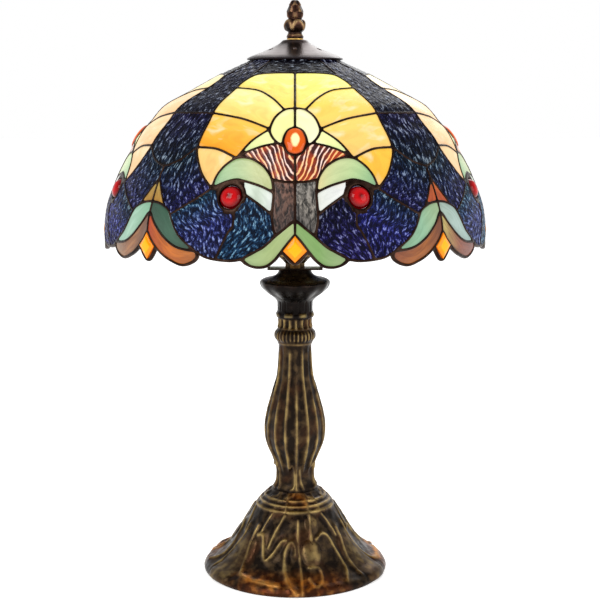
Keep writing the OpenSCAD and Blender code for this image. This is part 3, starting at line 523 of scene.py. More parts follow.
def inset(rim, side):
    """The closed line rim of angles and heights, moved in from the seams' middle lines."""
    q = on_dome(rim)
    out = on_dome(rim, 1) - q
    before, after = q - np.roll(q, 1, axis=0), np.roll(q, -1, axis=0) - q
    unit = [side * np.cross(out, v) for v in (before, after)]
    n1, n2 = (v / np.linalg.norm(v, axis=1, keepdims=True) for v in unit)
    miter = (n1 + n2) / np.maximum(1 + (n1 * n2).sum(axis=1, keepdims=True), 0.35)
    return off_dome(q + miter * TUCK)


def pane_sheet(a, b, c=None, d=None, grid=PLAIN_GRID, turn=0.0):
    """A grid over the pane between four seams; a and b run the long way, c joins their starts and d their
    ends, and where c or d is left out the pane ends in a point. Gives the angles and heights, and for
    each point its flow along and across the pane in mm, its share of both, and its distance to the edge."""
    starts, ends = (0.0 if c else tip(a, b)), (0.0 if d else tip(a[::-1], b[::-1]))
    n = max(4, round(max(length(a), length(b)) / grid))
    ea, eb = steps(a, n, starts, ends), steps(b, n, starts, ends)
    c = list(map(tuple, c)) if c else [tuple(ea[0]), tuple(eb[0])]
    d = list(map(tuple, d)) if d else [tuple(ea[n]), tuple(eb[n])]
    gaps = np.linalg.norm(on_dome(ea) - on_dome(eb), axis=1)
    m = max(2, round(max(length(c), length(d), gaps.max()) / grid))
    ec, ed = steps(c, m), steps(d, m)
    rim = np.vstack([ea, ed[1:], eb[-2::-1], ec[-2:0:-1]])
    qa, qb = on_dome(ea), on_dome(eb)
    facing = np.cross(qa[1] - qa[0], qb[0 if starts == 0 else 1] - qa[0])
    if c[0] == c[-1] or np.linalg.norm(facing) < 1e-6:
        half = n // 2
        facing = np.cross(qa[half + 1] - qa[half], qb[half] - qa[half])
    side = math.copysign(1, facing @ (on_dome(ea[0], 1) - qa[0]))
    rim = inset(rim, side)
    fa, fd, fb = rim[:n + 1], rim[n:n + m + 1], rim[n + m:2 * n + m + 1][::-1]
    fc = np.vstack([rim[:1], rim[2 * n + m:][::-1]])
    u, v = np.linspace(0, 1, n + 1)[:, None, None], np.linspace(0, 1, m + 1)[None, :, None]
    sheet = ((1 - v) * fa[:, None] + v * fb[:, None] + (1 - u) * fc[None] + u * fd[None]
             - (1 - u) * (1 - v) * fa[0] - u * (1 - v) * fa[-1] - (1 - u) * v * fb[0] - u * v * fb[-1])
    run = (along(on_dome(fa)) + along(on_dome(fb))) / 2
    width = np.maximum(np.linalg.norm(on_dome(fa) - on_dome(fb), axis=1), 0.5)
    x = np.repeat(run[:, None], m + 1, axis=1)
    y = (v[..., 0] - 0.5) * width[:, None]
    t = math.radians(turn)
    edge = np.minimum(np.minimum(x - x[0], x[-1] - x) + 0.4, width[:, None] / 2 - np.abs(y))
    shares = np.stack(np.broadcast_arrays(u[..., 0], v[..., 0]), axis=-1)
    return dict(at=sheet, side=side, x=x * math.cos(t) + y * math.sin(t), y=y * math.cos(t) - x * math.sin(t),
                edge=edge, shares=shares)


def ripples(flow):
    """Height of the ripples of drawn glass, about -1 to 1, where flow runs along them."""
    bend = cloud(flow / (16, 12, 1), 5.0)
    lines = np.stack([flow[:, 0] / 4.4, (flow[:, 1] + 2.4 * bend) / 1.65, flow[:, 2]], axis=1)
    folds = np.stack([flow[:, 0] / 3.0, (flow[:, 1] + 1.6 * bend) / 1.25, flow[:, 2] + 9], axis=1)
    return np.clip(1.5 * cloud(lines) + 0.75 * cloud(folds), -1, 1)


def painted_glow_at(points, edge):
    """Painted light of the bulb on the glass at the points: weaker far from the bulb, low on the shade, with
    painted shade near the solder.
    """
    far = np.linalg.norm(points - (0, 0, BULB_Z), axis=1)
    light = np.clip((FULL_LIGHT / far) ** 1.1, 0.62, 1.12)
    return light * (0.72 + 0.28 * np.clip(edge / PAINTED_SOLDER_SHADOW, 0, 1))


def blended(stops, t):
    """Colour at each share t of a list of evenly spaced display colours."""
    values = np.array([linear(s) for s in stops])
    at = np.linspace(0, 1, len(stops))
    return np.stack([np.interp(t, at, values[:, i]) for i in range(3)], axis=-1)


def glass_node(node, material, panes, tones, grid=PLAIN_GRID, pairs=True, rippled=False, t=GLASS_T,
               crown=None):
    """All panes of one kind, as one piece. panes are arguments of pane_sheet, and pairs gives each a mirror
    image. tones gives a pane's colours, along it (0) or across it (1), from its repeat, its hand, 1 towards
    growing angles and -1 for the mirror image, and its index. crown raises the face of a jewel."""
    points, faces, marks = [], [], {"tone": [], "flow": [], "painted_glow": [], "relief": []}
    count = 0
    for index, pane in enumerate(panes):
        sheet = pane_sheet(grid=grid, **pane)
        rows, columns = sheet["x"].shape
        for k in range(REPEATS):
            for hand in ((1, -1) if pairs else (1,)):
                seed = 37.0 * (k * 2 + (hand > 0)) + 11.0 * index
                at = sheet["at"] * (hand, 1) + (k * TURN, 0)
                flow = np.stack([sheet["x"], sheet["y"], np.full_like(sheet["x"], seed)], axis=-1)
                flow = flow.reshape(-1, 3)
                edge = sheet["edge"].reshape(-1)
                height = ripples(flow) if rippled else cloud(flow / (18, 18, 1))
                soft = np.clip(edge / 1.5, 0, 1)
                lift = (0.42 if rippled else 0.16) * height * soft
                if crown:
                    lift = crown(sheet).reshape(-1)
                outer = on_dome(at.reshape(-1, 2), t / 2)
                inner = on_dome(at.reshape(-1, 2), -t / 2)
                normal = (outer - inner) / t
                outer = outer + normal * lift[:, None]
                if rippled:
                    inner = inner + normal * (0.5 * lift)[:, None]
                axis, stops = tones(k, hand, index)
                share = sheet["shares"][..., axis].reshape(-1) + 0.12 * cloud(flow / (25, 25, 1), 3)
                tone = blended(stops, np.clip(share, 0, 1))
                # relief: the ripple height, which places the painted shade and highlights of rippled glass,
                # or the rise of a jewel's face, which places its painted light
                level = (height + 1) / 2 if not crown else lift / max(lift.max(), 0.1)
                size = rows * columns
                grid_of = np.arange(size).reshape(rows, columns) + count
                corners = [grid_of[:-1, :-1], grid_of[1:, :-1], grid_of[1:, 1:], grid_of[:-1, 1:]]
                quads = np.stack(corners, axis=-1).reshape(-1, 4)
                loop = np.concatenate([grid_of[:, 0], grid_of[-1, 1:], grid_of[-2::-1, -1],
                                       grid_of[0, -2:0:-1]])
                after = np.roll(loop, -1)
                walls = np.stack([loop, loop + size, after + size, after], axis=-1)
                if sheet["side"] * hand < 0:
                    made = [quads[:, ::-1], quads + size, walls[:, ::-1]]
                else:
                    made = [quads, (quads + size)[:, ::-1], walls]
                faces += np.vstack(made).tolist()
                points += [outer, inner]
                # painted light of the bulb through the glass, with painted shade near the solder
                for key, values in (("tone", tone), ("flow", flow), ("painted_glow", painted_glow_at(outer, edge)),
                                    ("relief", level)):
                    marks[key] += [values, values]
                count += 2 * size
    marks = {key: np.concatenate(values) for key, values in marks.items()}
    return piece(node + "_panes", np.vstack(points), faces, "shade", material, (node,), marks)


# Tones are display colours. Repeat 0 is the front, 1 the right, 2 the back and 3 the left.
def toned(right, left=None, axis=0):
    """The same in all repeats; the left hand's colours are those of the right unless they are given."""
    return lambda k, hand, index: (axis, left if left and hand < 0 else right)


def fan_tones(front_left, front_right, side):
    """Fans at the front and back have a left and a right half, and those at the sides are alike."""
    def tones(k, hand, index):
        if k % 2:
            return 1, side
        return 1, (front_right if hand * (1 if k == 0 else -1) > 0 else front_left)
    return tones


def petal_tones(front_right, front_left, rest, side):
    """The two halves of the front repeat differ; side is for the repeat on its right, rest for the others."""
    def tones(k, hand, index):
        if k == 0:
            return 0, (front_right if hand > 0 else front_left)
        return 0, (rest if k > 1 else side)
    return tones


def make_blue_glass():
    """The night-blue ground: from the crown down the columns, over the shoulders, and beside the trunk."""
    blue = rippled_glass("blue_rippled_glass")
    crown, column = [(28, 28, 42), (24, 24, 40)], [(36, 40, 66), (34, 32, 68)]
    flank = [(30, 50, 74), (40, 36, 88)]
    side = join(FAN_SIDE[::-1], FAN_CORNER[::-1], CROWN_SIDE)
    upper = [dict(a=both_sides(FAN_TOP), b=both_sides(CROWN_RIM), c=mirrored(CROWN_SIDE), d=CROWN_SIDE),
             dict(a=side, b=mirrored(side, HALF), c=through(COLLAR, HALF), d=through(COLUMN_RIM, HALF),
                  turn=20),
             dict(a=FAN_FLANK[::-1], b=mirrored(FAN_FLANK, HALF)[::-1], c=through(SHOULDER, HALF),
                  d=through(COLLAR, HALF), turn=20)]
    glass_node("glass_blue_upper", blue, upper, lambda k, hand, index: (0, (crown, column, flank)[index]),
               RIPPLE_GRID, pairs=False, rippled=True)
    middle = dict(a=SHOULDER, b=BROW, c=FAN_LOW, d=join(BLUE_AXIS, SPEAR_SIDE[::-1], GREEN_KNEE), turn=62)
    outer = [BROW[0], (22.8, 54.2)] + ruby_ring(-170, -85, 4) + [(17.1, 37.5)] + SWEEP[1:]
    inner = [(14.5, 52)] + ruby_ring(0, -50, 2) + SWEEP
    for node, pane, tones in (
            ("glass_blue_middle", middle, toned([(32, 60, 84), (48, 46, 124)], axis=1)),
            ("glass_blue_lower", dict(a=outer, b=GREEN_OUT, c=BROW, d=HEM_OUT),
             toned([(26, 60, 92), (50, 54, 160), (32, 28, 112)],
                   [(38, 92, 124), (66, 76, 166), (84, 98, 172)])),
            ("glass_blue_inner", dict(a=join(TRUNK_FOOT, LEAF_OUT), b=inner, c=PEARL_LOW, d=HEM_IN),
             toned([(34, 34, 78), (52, 42, 142)], [(48, 90, 136), (42, 96, 146)]))):
        glass_node(node, blue, [pane], tones, RIPPLE_GRID, rippled=True)


def make_fan_glass():
    """The sunrise: four rays of opal glass on each side, round a halo."""
    cream = opal_glass("cream_opal_glass")
    peach = [(255, 218, 164), (250, 200, 146)]
    glass_node("glass_fan_upper", cream, [dict(a=FAN_TOP, b=join(HALO_TOP, RAY_1), c=FAN_AXIS, d=FAN_CORNER)],
               fan_tones([(255, 246, 136), (255, 222, 104)], [(255, 250, 128), (255, 224, 108)],
                         [(255, 238, 178), (255, 224, 160)]))
    glass_node("glass_fan_second", cream, [dict(a=RAY_1, b=RAY_2, c=HALO_SIDE, d=FAN_SIDE)],
               fan_tones([(255, 240, 150), (255, 214, 110)], [(255, 222, 98), (255, 205, 106)], peach))
    glass_node("glass_fan_third", opal_glass("honey_opal_glass"),
               [dict(a=RAY_2, b=RAY_3, c=FAN_IN, d=FAN_FLANK)],
               fan_tones([(255, 202, 88), (255, 166, 30)], [(255, 216, 112), (255, 202, 112)], peach))
    low_right, low_left = [(255, 200, 70), (255, 188, 58)], [(255, 212, 130), (255, 202, 118)]
    glass_node("glass_fan_lower", cream, [dict(a=ARCH_TIP[::-1], b=FAN_LOW, c=RAY_3)],
               lambda k, hand, index: (0, peach if k % 2 else low_right if hand > 0 else low_left))
    lemon = opal_glass("lemon_opal_glass", wisps=0.08)
    glass_node("glass_halo", lemon,
               [dict(a=join(HALO_TOP, HALO_SIDE, HALO_LOW, HALO_END), b=FLAME_SIDE, c=HALO_AXIS)],
               toned([(250, 250, 188), (255, 252, 208)], [(242, 240, 160), (250, 246, 168)]))
    glass_node("glass_spandrel", lemon, [dict(a=WING_TOP, b=FAN_IN, c=HALO_LOW[::-1])],
               toned([(250, 252, 176), (226, 240, 166)]))


def make_tree_glass():
    """The tree below the fan: wings, arching boughs, a pale pane under each bough, the trunk and leaves."""
    wing = dict(a=join(FLAME_LOW[::-1], HALO_END[::-1], WING_TOP), b=join(TRUNK_TOP[::-1], ARCH_TOP[::-1]),
                c=WING_AXIS)
    glass_node("glass_wing", streaky_glass("streaky_red_glass"), [wing],
               toned([(176, 80, 50), (110, 40, 30)]))
    sage = cathedral_glass("sage_glass_sheet", wisps=0.25)
    glass_node("glass_arch", sage,
               [dict(a=join(ARCH_TIP, ARCH_TOP), b=join(ARCH_OUTER, ARCH_INNER), d=ARCH_END)],
               toned([(140, 188, 140), (184, 212, 152), (206, 218, 160), (236, 222, 160)],
                     [(130, 180, 130), (164, 196, 140), (194, 202, 142), (198, 204, 146)]))
    glass_node("glass_pearl", opal_glass("pearl_opal_glass", wisps=0.2),
               [dict(a=ARCH_INNER, b=PEARL_LOW[::-1], c=[(15, 60.6), (14.5, 52)], d=TRUNK_SIDE)],
               toned([(250, 252, 250), (238, 242, 232)], [(232, 244, 230), (206, 222, 200), (244, 250, 244)]))
    glass_node("glass_trunk", mottled_glass("mauve_mottled_glass"),
               [dict(a=TRUNK_AXIS, b=join(ARCH_END, TRUNK_SIDE, TRUNK_FOOT), c=TRUNK_TOP[::-1], d=LEAF_TOP)],
               toned([(112, 108, 102), (122, 116, 108), (70, 66, 64)],
                     [(112, 80, 68), (86, 62, 52), (66, 52, 48)]))
    glass_node("glass_leaf", sage,
               [dict(a=join(LEAF_TOP, LEAF_OUT), b=join(LEAF_LOW, LEAF_IN)[::-1], c=LEAF_AXIS)],
               toned([(146, 182, 112), (134, 176, 100), (168, 190, 136)],
                     [(186, 202, 142), (178, 198, 130), (170, 194, 136)]))


def make_petal_glass():
    """The flowers between the fans: a spear over green petals and amber petals."""
    streaks = cathedral_glass("amber_streaky_glass", wisps=0.6, dark=(0.45, 0.35, 0.35))
    straw, rust = [(204, 178, 96), (196, 146, 56)], [(206, 104, 46), (190, 82, 40)]
    glass_node("glass_spear", streaks, [dict(a=SPEAR_SIDE[::-1], b=SPEAR_AXIS, d=GREEN_TOP[::-1])],
               lambda k, hand, index: (0, straw if (hand < 0) == (k % 2 == 0) else rust))
    mint = cathedral_glass("mint_glass_sheet", wisps=0.4)
    glass_node("glass_petal_green", mint,
               [dict(a=join(GREEN_TOP, GREEN_KNEE, GREEN_OUT), b=GREEN_IN, c=GREEN_AXIS)],
               petal_tones([(170, 196, 150), (150, 196, 160), (140, 186, 150)],
                           [(54, 84, 68), (64, 104, 82), (60, 88, 72)],
                           [(150, 202, 168), (176, 216, 190), (160, 208, 186)],
                           [(168, 190, 176), (180, 204, 196), (150, 186, 182)]))
    glass_node("glass_petal_amber", streaks,
               [dict(a=GREEN_IN, b=join(AMBER_LOW, AMBER_IN)[::-1], c=AMBER_AXIS)],
               petal_tones([(122, 66, 36), (176, 100, 34), (158, 84, 46)],
                           [(190, 60, 20), (220, 118, 30), (190, 112, 44)],
                           [(132, 102, 86), (176, 116, 66), (138, 110, 80)],
                           [(206, 190, 110), (156, 84, 56), (128, 66, 52)]))


# ---------------------------------------- jewels
JEWEL_GRID = 0.9                # spacing of the points on a jewel
JEWEL_T = 3.4                   # thickness of a jewel at its rim
FLAME_RISE, DIAMOND_RISE = 2.4, 1.8


def pillow(sheet):
    """Face that rises from the rim to a rounded crown."""
    x, y = (2 * sheet["shares"][..., i] - 1 for i in (0, 1))
    return FLAME_RISE * np.clip(1 - x ** 2, 0, 1) ** 0.8 * np.clip(1 - y ** 2, 0, 1) ** 0.8


def faceted(sheet):
    """Face cut to a low pyramid with a flat table."""
    x, y = (np.abs(2 * sheet["shares"][..., i] - 1) for i in (0, 1))
    return DIAMOND_RISE * np.clip((1 - np.maximum(x, y)) / 0.55, 0, 1)


def make_jewels():
    flame = join(FLAME_SIDE, FLAME_LOW)
    orange = jewel_glass_painted_light("flame_jewel_glass", (70, 18, 5), (206, 84, 12), (255, 236, 170), 0.8, 0.9)
    glass_node("jewel_flame", orange, [dict(a=flame, b=mirrored(flame))],
               toned([(255, 170, 30), (255, 190, 60)]), JEWEL_GRID, pairs=False, t=JEWEL_T,
               crown=pillow)
    amber = jewel_glass_painted_light("amber_jewel_glass", (226, 104, 2), (250, 148, 0), (250, 176, 4), 0.85)
    trunk_point = dict(a=mirrored(LEAF_IN[::-1]), b=POINT_A, c=LEAF_IN[::-1], d=mirrored(POINT_A))
    flower_point = dict(a=AMBER_IN[::-1], b=mirrored(POINT_B, HALF), c=mirrored(AMBER_IN[::-1], HALF),
                        d=POINT_B)
    glass_node("jewel_diamond", amber, [trunk_point, flower_point],
               toned([(255, 185, 0), (255, 210, 30)]), JEWEL_GRID, pairs=False, t=JEWEL_T,
               crown=faceted)


def make_rubies():
    """Round cabochons, set square to the dome."""
    profile = smooth([(0, 4.8), (3.4, 4.3), (6, 3.0), (7.7, 1.0), (RUBY_R, -0.6), (7.8, -2.0), (4, -2.2),
                      (0, -2.2)])
    around = np.radians(np.arange(0, 360, 7.5))
    points, faces, relief = [], [], []
    for k in range(REPEATS):
        for hand in (1, -1):
            middle = np.array([hand * RUBY_AT[0] + k * TURN, RUBY_AT[1]])
            base = on_dome(middle)
            out = on_dome(middle, 1) - base
            side = np.cross(out, (0, 0, 1))
            side /= np.linalg.norm(side)
            up = np.cross(side, out)
            ring = [base + r * (math.cos(t) * side + math.sin(t) * up) + z * out
                    for r, z in profile for t in around]
            first = len(points)
            points += ring
            # relief grows from the middle of the ruby's face outwards, for its painted dark middle and bright
            # ring
            relief += [0.1 + r / RUBY_R * 0.85 if z > 0 else 0.1 for r, z in profile for _ in around]
            n = len(around)
            faces += [[first + i * n + j, first + i * n + (j + 1) % n, first + (i + 1) * n + (j + 1) % n,
                       first + (i + 1) * n + j] for i in range(len(profile) - 1) for j in range(n)]
    points = np.array(points)
    marks = {"relief": relief, "painted_glow": painted_glow_at(points, np.full(len(points), 3.0))}
    ruby = jewel_glass_painted_light("ruby_jewel_glass", (34, 0, 3), (206, 0, 10), (50, 0, 4), 0.45, 0.62)
    piece("jewel_ruby_cabochons", points, faces, "shade", ruby, ("jewel_ruby",), marks,
          weld=True)


# ---------------------------------------- solder
def solder_material():
    material, tree, shader = new_material("patina_solder", Metallic=1.0)
    at = place(tree)
    patches = grain(tree, at, 90.0, 4.0)
    tone = ramp(tree, patches, [(0.3, (28, 17, 14)), (0.5, (44, 30, 24)), (0.68, (62, 46, 38))])
    link(tree, tone, shader, "Base Color")
    link(tree, ramp(tree, grain(tree, at, 400.0, 3.0), [(0.3, 0.28), (0.7, 0.48)]), shader, "Roughness")
    bump(tree, shader, grain(tree, at, 500.0, 3.0), 0.4, 0.25)
    return material


def bead(c):
    """A rounded bead of solder along the curve c: its points and faces."""
    p = steps(c, max(3, round(length(c) / BEAD_STEP)))
    middle = on_dome(p)
    out = on_dome(p, 1) - middle
    ahead = np.gradient(middle, axis=0)
    ahead /= np.linalg.norm(ahead, axis=1, keepdims=True)
    aside = np.cross(out, ahead)
    sides = 10
    t = np.radians(np.arange(sides) * 360 / sides)
    swell = np.ones(len(p))
    swell[0] = swell[-1] = 0.75
    wide, deep = (np.cos(t) * BEAD_W / 2)[None, :, None], (np.sin(t) * BEAD_D / 2)[None, :, None]
    swell = swell[:, None, None]
    rings = middle[:, None] + aside[:, None] * wide * swell + out[:, None] * deep * swell
    points = np.vstack([rings.reshape(-1, 3), middle[:1] - ahead[:1] * 0.8, middle[-1:] + ahead[-1:] * 0.8])
    n = len(p)
    faces = [[i * sides + j, i * sides + (j + 1) % sides, (i + 1) * sides + (j + 1) % sides,
              (i + 1) * sides + j] for i in range(n - 1) for j in range(sides)]
    faces += [[n * sides, (j + 1) % sides, j] for j in range(sides)]
    last = (n - 1) * sides
    faces += [[n * sides + 1, last + j, last + (j + 1) % sides] for j in range(sides)]
    return points, faces


def middle_seams():
    fan = join(FAN_TOP, FAN_CORNER, FAN_SIDE, FAN_FLANK, FAN_LOW)
    halo = join(HALO_TOP, HALO_SIDE, HALO_LOW, HALO_END)
    leaf = join(LEAF_TOP, LEAF_OUT, LEAF_LOW, LEAF_IN)
    return [FAN_AXIS, HALO_AXIS, WING_AXIS, TRUNK_AXIS, LEAF_AXIS, both_sides(fan), both_sides(halo),
            both_sides(join(FLAME_SIDE, FLAME_LOW)), through(TRUNK_TOP), both_sides(leaf), through(POINT_A),
            both_sides(join(CROWN_RIM, COLUMN_RIM))]


def side_seams():
    return [CROWN_SIDE, RAY_1, RAY_2, RAY_3, FAN_IN, WING_TOP,
            join(ARCH_TIP, ARCH_TOP, ARCH_END, TRUNK_SIDE, TRUNK_FOOT), join(ARCH_OUTER, ARCH_INNER),
            PEARL_LOW, ruby_ring(0, 360, 24), SWEEP, BROW, SPEAR_SIDE, join(HEM_IN, HEM_OUT)]


def petal_seams():
    return [through(COLLAR, HALF), through(SHOULDER, HALF), join(BLUE_AXIS, SPEAR_AXIS), GREEN_AXIS,
            AMBER_AXIS, both_sides(join(GREEN_TOP, GREEN_KNEE, GREEN_OUT), HALF), both_sides(GREEN_IN, HALF),
            through(join(AMBER_LOW, AMBER_IN), HALF), through(POINT_B, HALF)]


def make_solder():
    """The solder of one repeat is fused from its beads once, then set in place four times."""
    curves = middle_seams() + petal_seams()
    # Broad solder beside a ruby's ring and at the outer end of an arch
    fills = [[(24.5, 55), (22.2, 54.6)], [(23.4, 56.4), (21.4, 55.8)], ruby_ring(-20, 175, 16, 10.9),
             ruby_ring(-115, -50, 6, 10.8)]
    curves += [c for seam in side_seams() + fills for c in (seam, mirrored(seam))]
    points, faces, count = [], [], 0
    for c in curves:
        p, f = bead(c)
        points.append(p)
        faces += [[i + count for i in face] for face in f]
        count += len(p)
    points = np.vstack(points)
    if FULL:
        mesh = bpy.data.meshes.new("beads")
        mesh.from_pydata((points * MM).tolist(), [], faces)
        beads = new_object("beads", mesh)
        fused = applied(beads, ("REMESH", dict(mode="VOXEL", voxel_size=VOXEL * MM)),
                        ("SMOOTH", dict(factor=0.6, iterations=4)))
        bpy.data.objects.remove(beads)
        points = points_of(fused)
        faces = [list(face.vertices) for face in fused.polygons]
    out = points - (0, 0, SHADE_Z)
    out /= np.linalg.norm(out, axis=1, keepdims=True)
    material = solder_material()
    for k, name in enumerate(("front", "right", "back", "left")):
        t = math.radians(k * TURN)
        turn = np.array([[math.cos(t), math.sin(t), 0], [-math.sin(t), math.cos(t), 0], [0, 0, 1]])
        placed = (points + out * 0.12 * cloud(points / 3.5, 20.0 * k)[:, None]) @ turn
        piece(f"solder_{name}", placed, faces, "shade", material, (f"seams_{name}",))


# ---------------------------------------- castings
def lathe(name, outer, inner, segments, relief, body, material, node, spacing):
    """A turned casting. The outside is a smooth line through outer, from the bottom up, that relief
    raises; inner goes on from its top round the inside. Each point is (radius, height). relief takes the
    angles, radii and heights and gives the rise in mm, how far each point is worn bright, and the amber
    mark, which paints the warm light of the lamp on the metal."""
    line = resample(smooth(outer), spacing)
    ahead = np.gradient(line, axis=0)
    ahead /= np.linalg.norm(ahead, axis=1, keepdims=True)
    angle = np.arange(segments) * 360 / segments
    a, r = np.meshgrid(angle, line[:, 0])
    z = np.repeat(line[:, 1:], segments, axis=1)
    rise, worn, amber = relief(np.where(a > 180, a - 360, a), r, z)
    fade = np.clip(np.minimum(along(line), along(line)[-1] - along(line)) / 1.5, 0, 1)[:, None]
    rise = rise * fade
    r = r + rise * ahead[:, 1:]
    z = z - rise * ahead[:, :1]
    inner = np.asarray(inner, float)
    r = np.vstack([r, np.repeat(inner[:, :1], segments, axis=1)])
    z = np.vstack([z, np.repeat(inner[:, 1:], segments, axis=1)])
    plain = np.zeros((len(inner), segments))
    worn, amber = np.vstack([worn, plain]), np.vstack([amber, plain])
    t = np.radians(angle)
    points = np.stack([r * np.sin(t), -r * np.cos(t), z], axis=-1).reshape(-1, 3)
    rows = len(r)
    at = np.arange(rows * segments).reshape(rows, segments)
    above, beside = np.roll(at, -1, axis=0), np.roll(at, -1, axis=1)
    faces = np.stack([at, beside, np.roll(above, -1, axis=1), above], axis=-1)
    made = piece(name, points, faces.reshape(-1, 4).tolist(), body, material, (node,),
                 {"relief": worn.ravel(), "amber": amber.ravel()}, weld=True)
    made.data.set_sharp_from_angle(angle=math.radians(50))
    return made


def bell(d, width):
    return np.exp(-(d / width) ** 2)


def window(v, low, high, soft):
    """1 where v lies between low and high, fading to 0 over soft."""
    return np.clip((v - low) / soft, 0, 1) * np.clip((high - v) / soft, 0, 1)


def part_of(angle, count, turn=0.0):
    """Where each angle lies in its repeat, from -1 to 1; turn is the middle of one of the repeats."""
    size = 360 / count
    return 2 * ((angle - turn + size / 2) % size) / size - 1


def line_distance(x, y, kx, line):
    """Distance in mm from points (x, y) to a line, where kx turns x into mm."""
    best = np.full(x.shape, 1e9)
    p = smooth(line, 4)
    for (x0, y0), (x1, y1) in zip(p[:-1], p[1:]):
        vx, vy = (x1 - x0) * kx, y1 - y0
        wx, wy = (x - x0) * kx, y - y0
        t = np.clip((wx * vx + wy * vy) / np.maximum(vx ** 2 + vy ** 2, 1e-9), 0, 1)
        best = np.minimum(best, (wx - t * vx) ** 2 + (wy - t * vy) ** 2)
    return np.sqrt(best)


def cast_skin(angle, r, z, size=5.0):
    """Slight unevenness of a sand casting."""
    t = np.radians(angle)
    points = np.stack([r * np.sin(t), -r * np.cos(t), z], axis=-1).reshape(-1, 3)
    return cloud(points / size).reshape(angle.shape)


def bronze(name, dark, middle, bright, sheen=0.36, tint=(96, 44, 18)):
    """Dark patina, rubbed through to gilt on whatever stands proud, with warm stains in patches, and a
    painted warm light of the lamp where the amber mark lies.
    """
    material, tree, shader = new_material(name, Metallic=0.9)
    at = place(tree)
    level = math_node(tree, "ADD", mark(tree, "relief"), swing(tree, grain(tree, at, 150.0, 5.0), 0.5, 1.1))
    colour = ramp(tree, level, [(0.08, dark), (0.42, middle), (0.86, bright), (1.0, bright)])
    stain = ramp(tree, grain(tree, at, 42.0, 3.0, 0.5), [(0.52, 0.0), (0.75, 0.5)])
    colour = mix(tree, stain, colour, rgba(tint))
    # painted warm light: where the amber mark is high, the colour turns to warm gold, standing in for the
    # lamp's light falling on the metal
    painted_lamp_glow = ramp(tree, level, [(0.1, (88, 42, 14)), (0.6, (198, 126, 50))])
    link(tree, mix(tree, mark(tree, "amber"), colour, painted_lamp_glow), shader, "Base Color")
    rough = ramp(tree, grain(tree, at, 300.0, 4.0), [(0.3, sheen - 0.1), (0.7, sheen + 0.16)])
    link(tree, rough, shader, "Roughness")
    bump(tree, shader, grain(tree, at, 700.0, 3.0), 0.35, 0.2)
    return material


FOOT = [(76, 0.6), (76, 3.2), (72.5, 7.2), (65, 11.6), (58, 17), (52.5, 23), (48.4, 29), (45, 34.6),
        (42, 40), (38.6, 45.4), (34.4, 52.2), (29.4, 59), (23.6, 64.6), (19.4, 68)]
STEM = [(19.2, 68), (18.4, 70.5), (16.4, 74), (15.4, 78), (15.4, 84), (17.2, 90), (19.4, 95.6),
        (21.6, 100.6), (23.4, 105), (24.8, 110.6), (25.3, 116), (25.3, 123), (24.5, 128.6), (23.2, 135),
        (21.4, 142),
        (19.8, 148.4), (18.2, 155), (16.4, 161), (15.3, 168), (14.6, 178), (14.4, 188), (15.4, 191.2),
        (17.4, 194.4), (17.8, 197.2), (17.2, 200), (15.2, 203), (14, 206), (13.9, 209), (14.4, 212)]
URN = [(15, 212), (15.6, 214.4), (14.6, 217), (14.4, 221.6), (14.9, 225.4), (17.6, 228.4), (22, 231.8),
       (26.2, 235.6), (28.2, 239.2), (28, 241.8), (25.6, 243.3), (18.8, 245), (14.8, 247.4), (12.8, 251)]
ROD_R = 5.2                     # radius of the hole that the lamp rod passes through
INLET_R = 4.6                   # radius of the hole for the cord's bushing
LILIES = 3                      # groups of lilies round the foot
RIDGES = 16                     # ridges round the column
CURLS = 5                       # curled leaves round the bottom of the column
CARVED = 1.0                    # how far the ground of a relief is sunk below the casting's outline
FINIAL_Z = 435.3                # underside of the finial


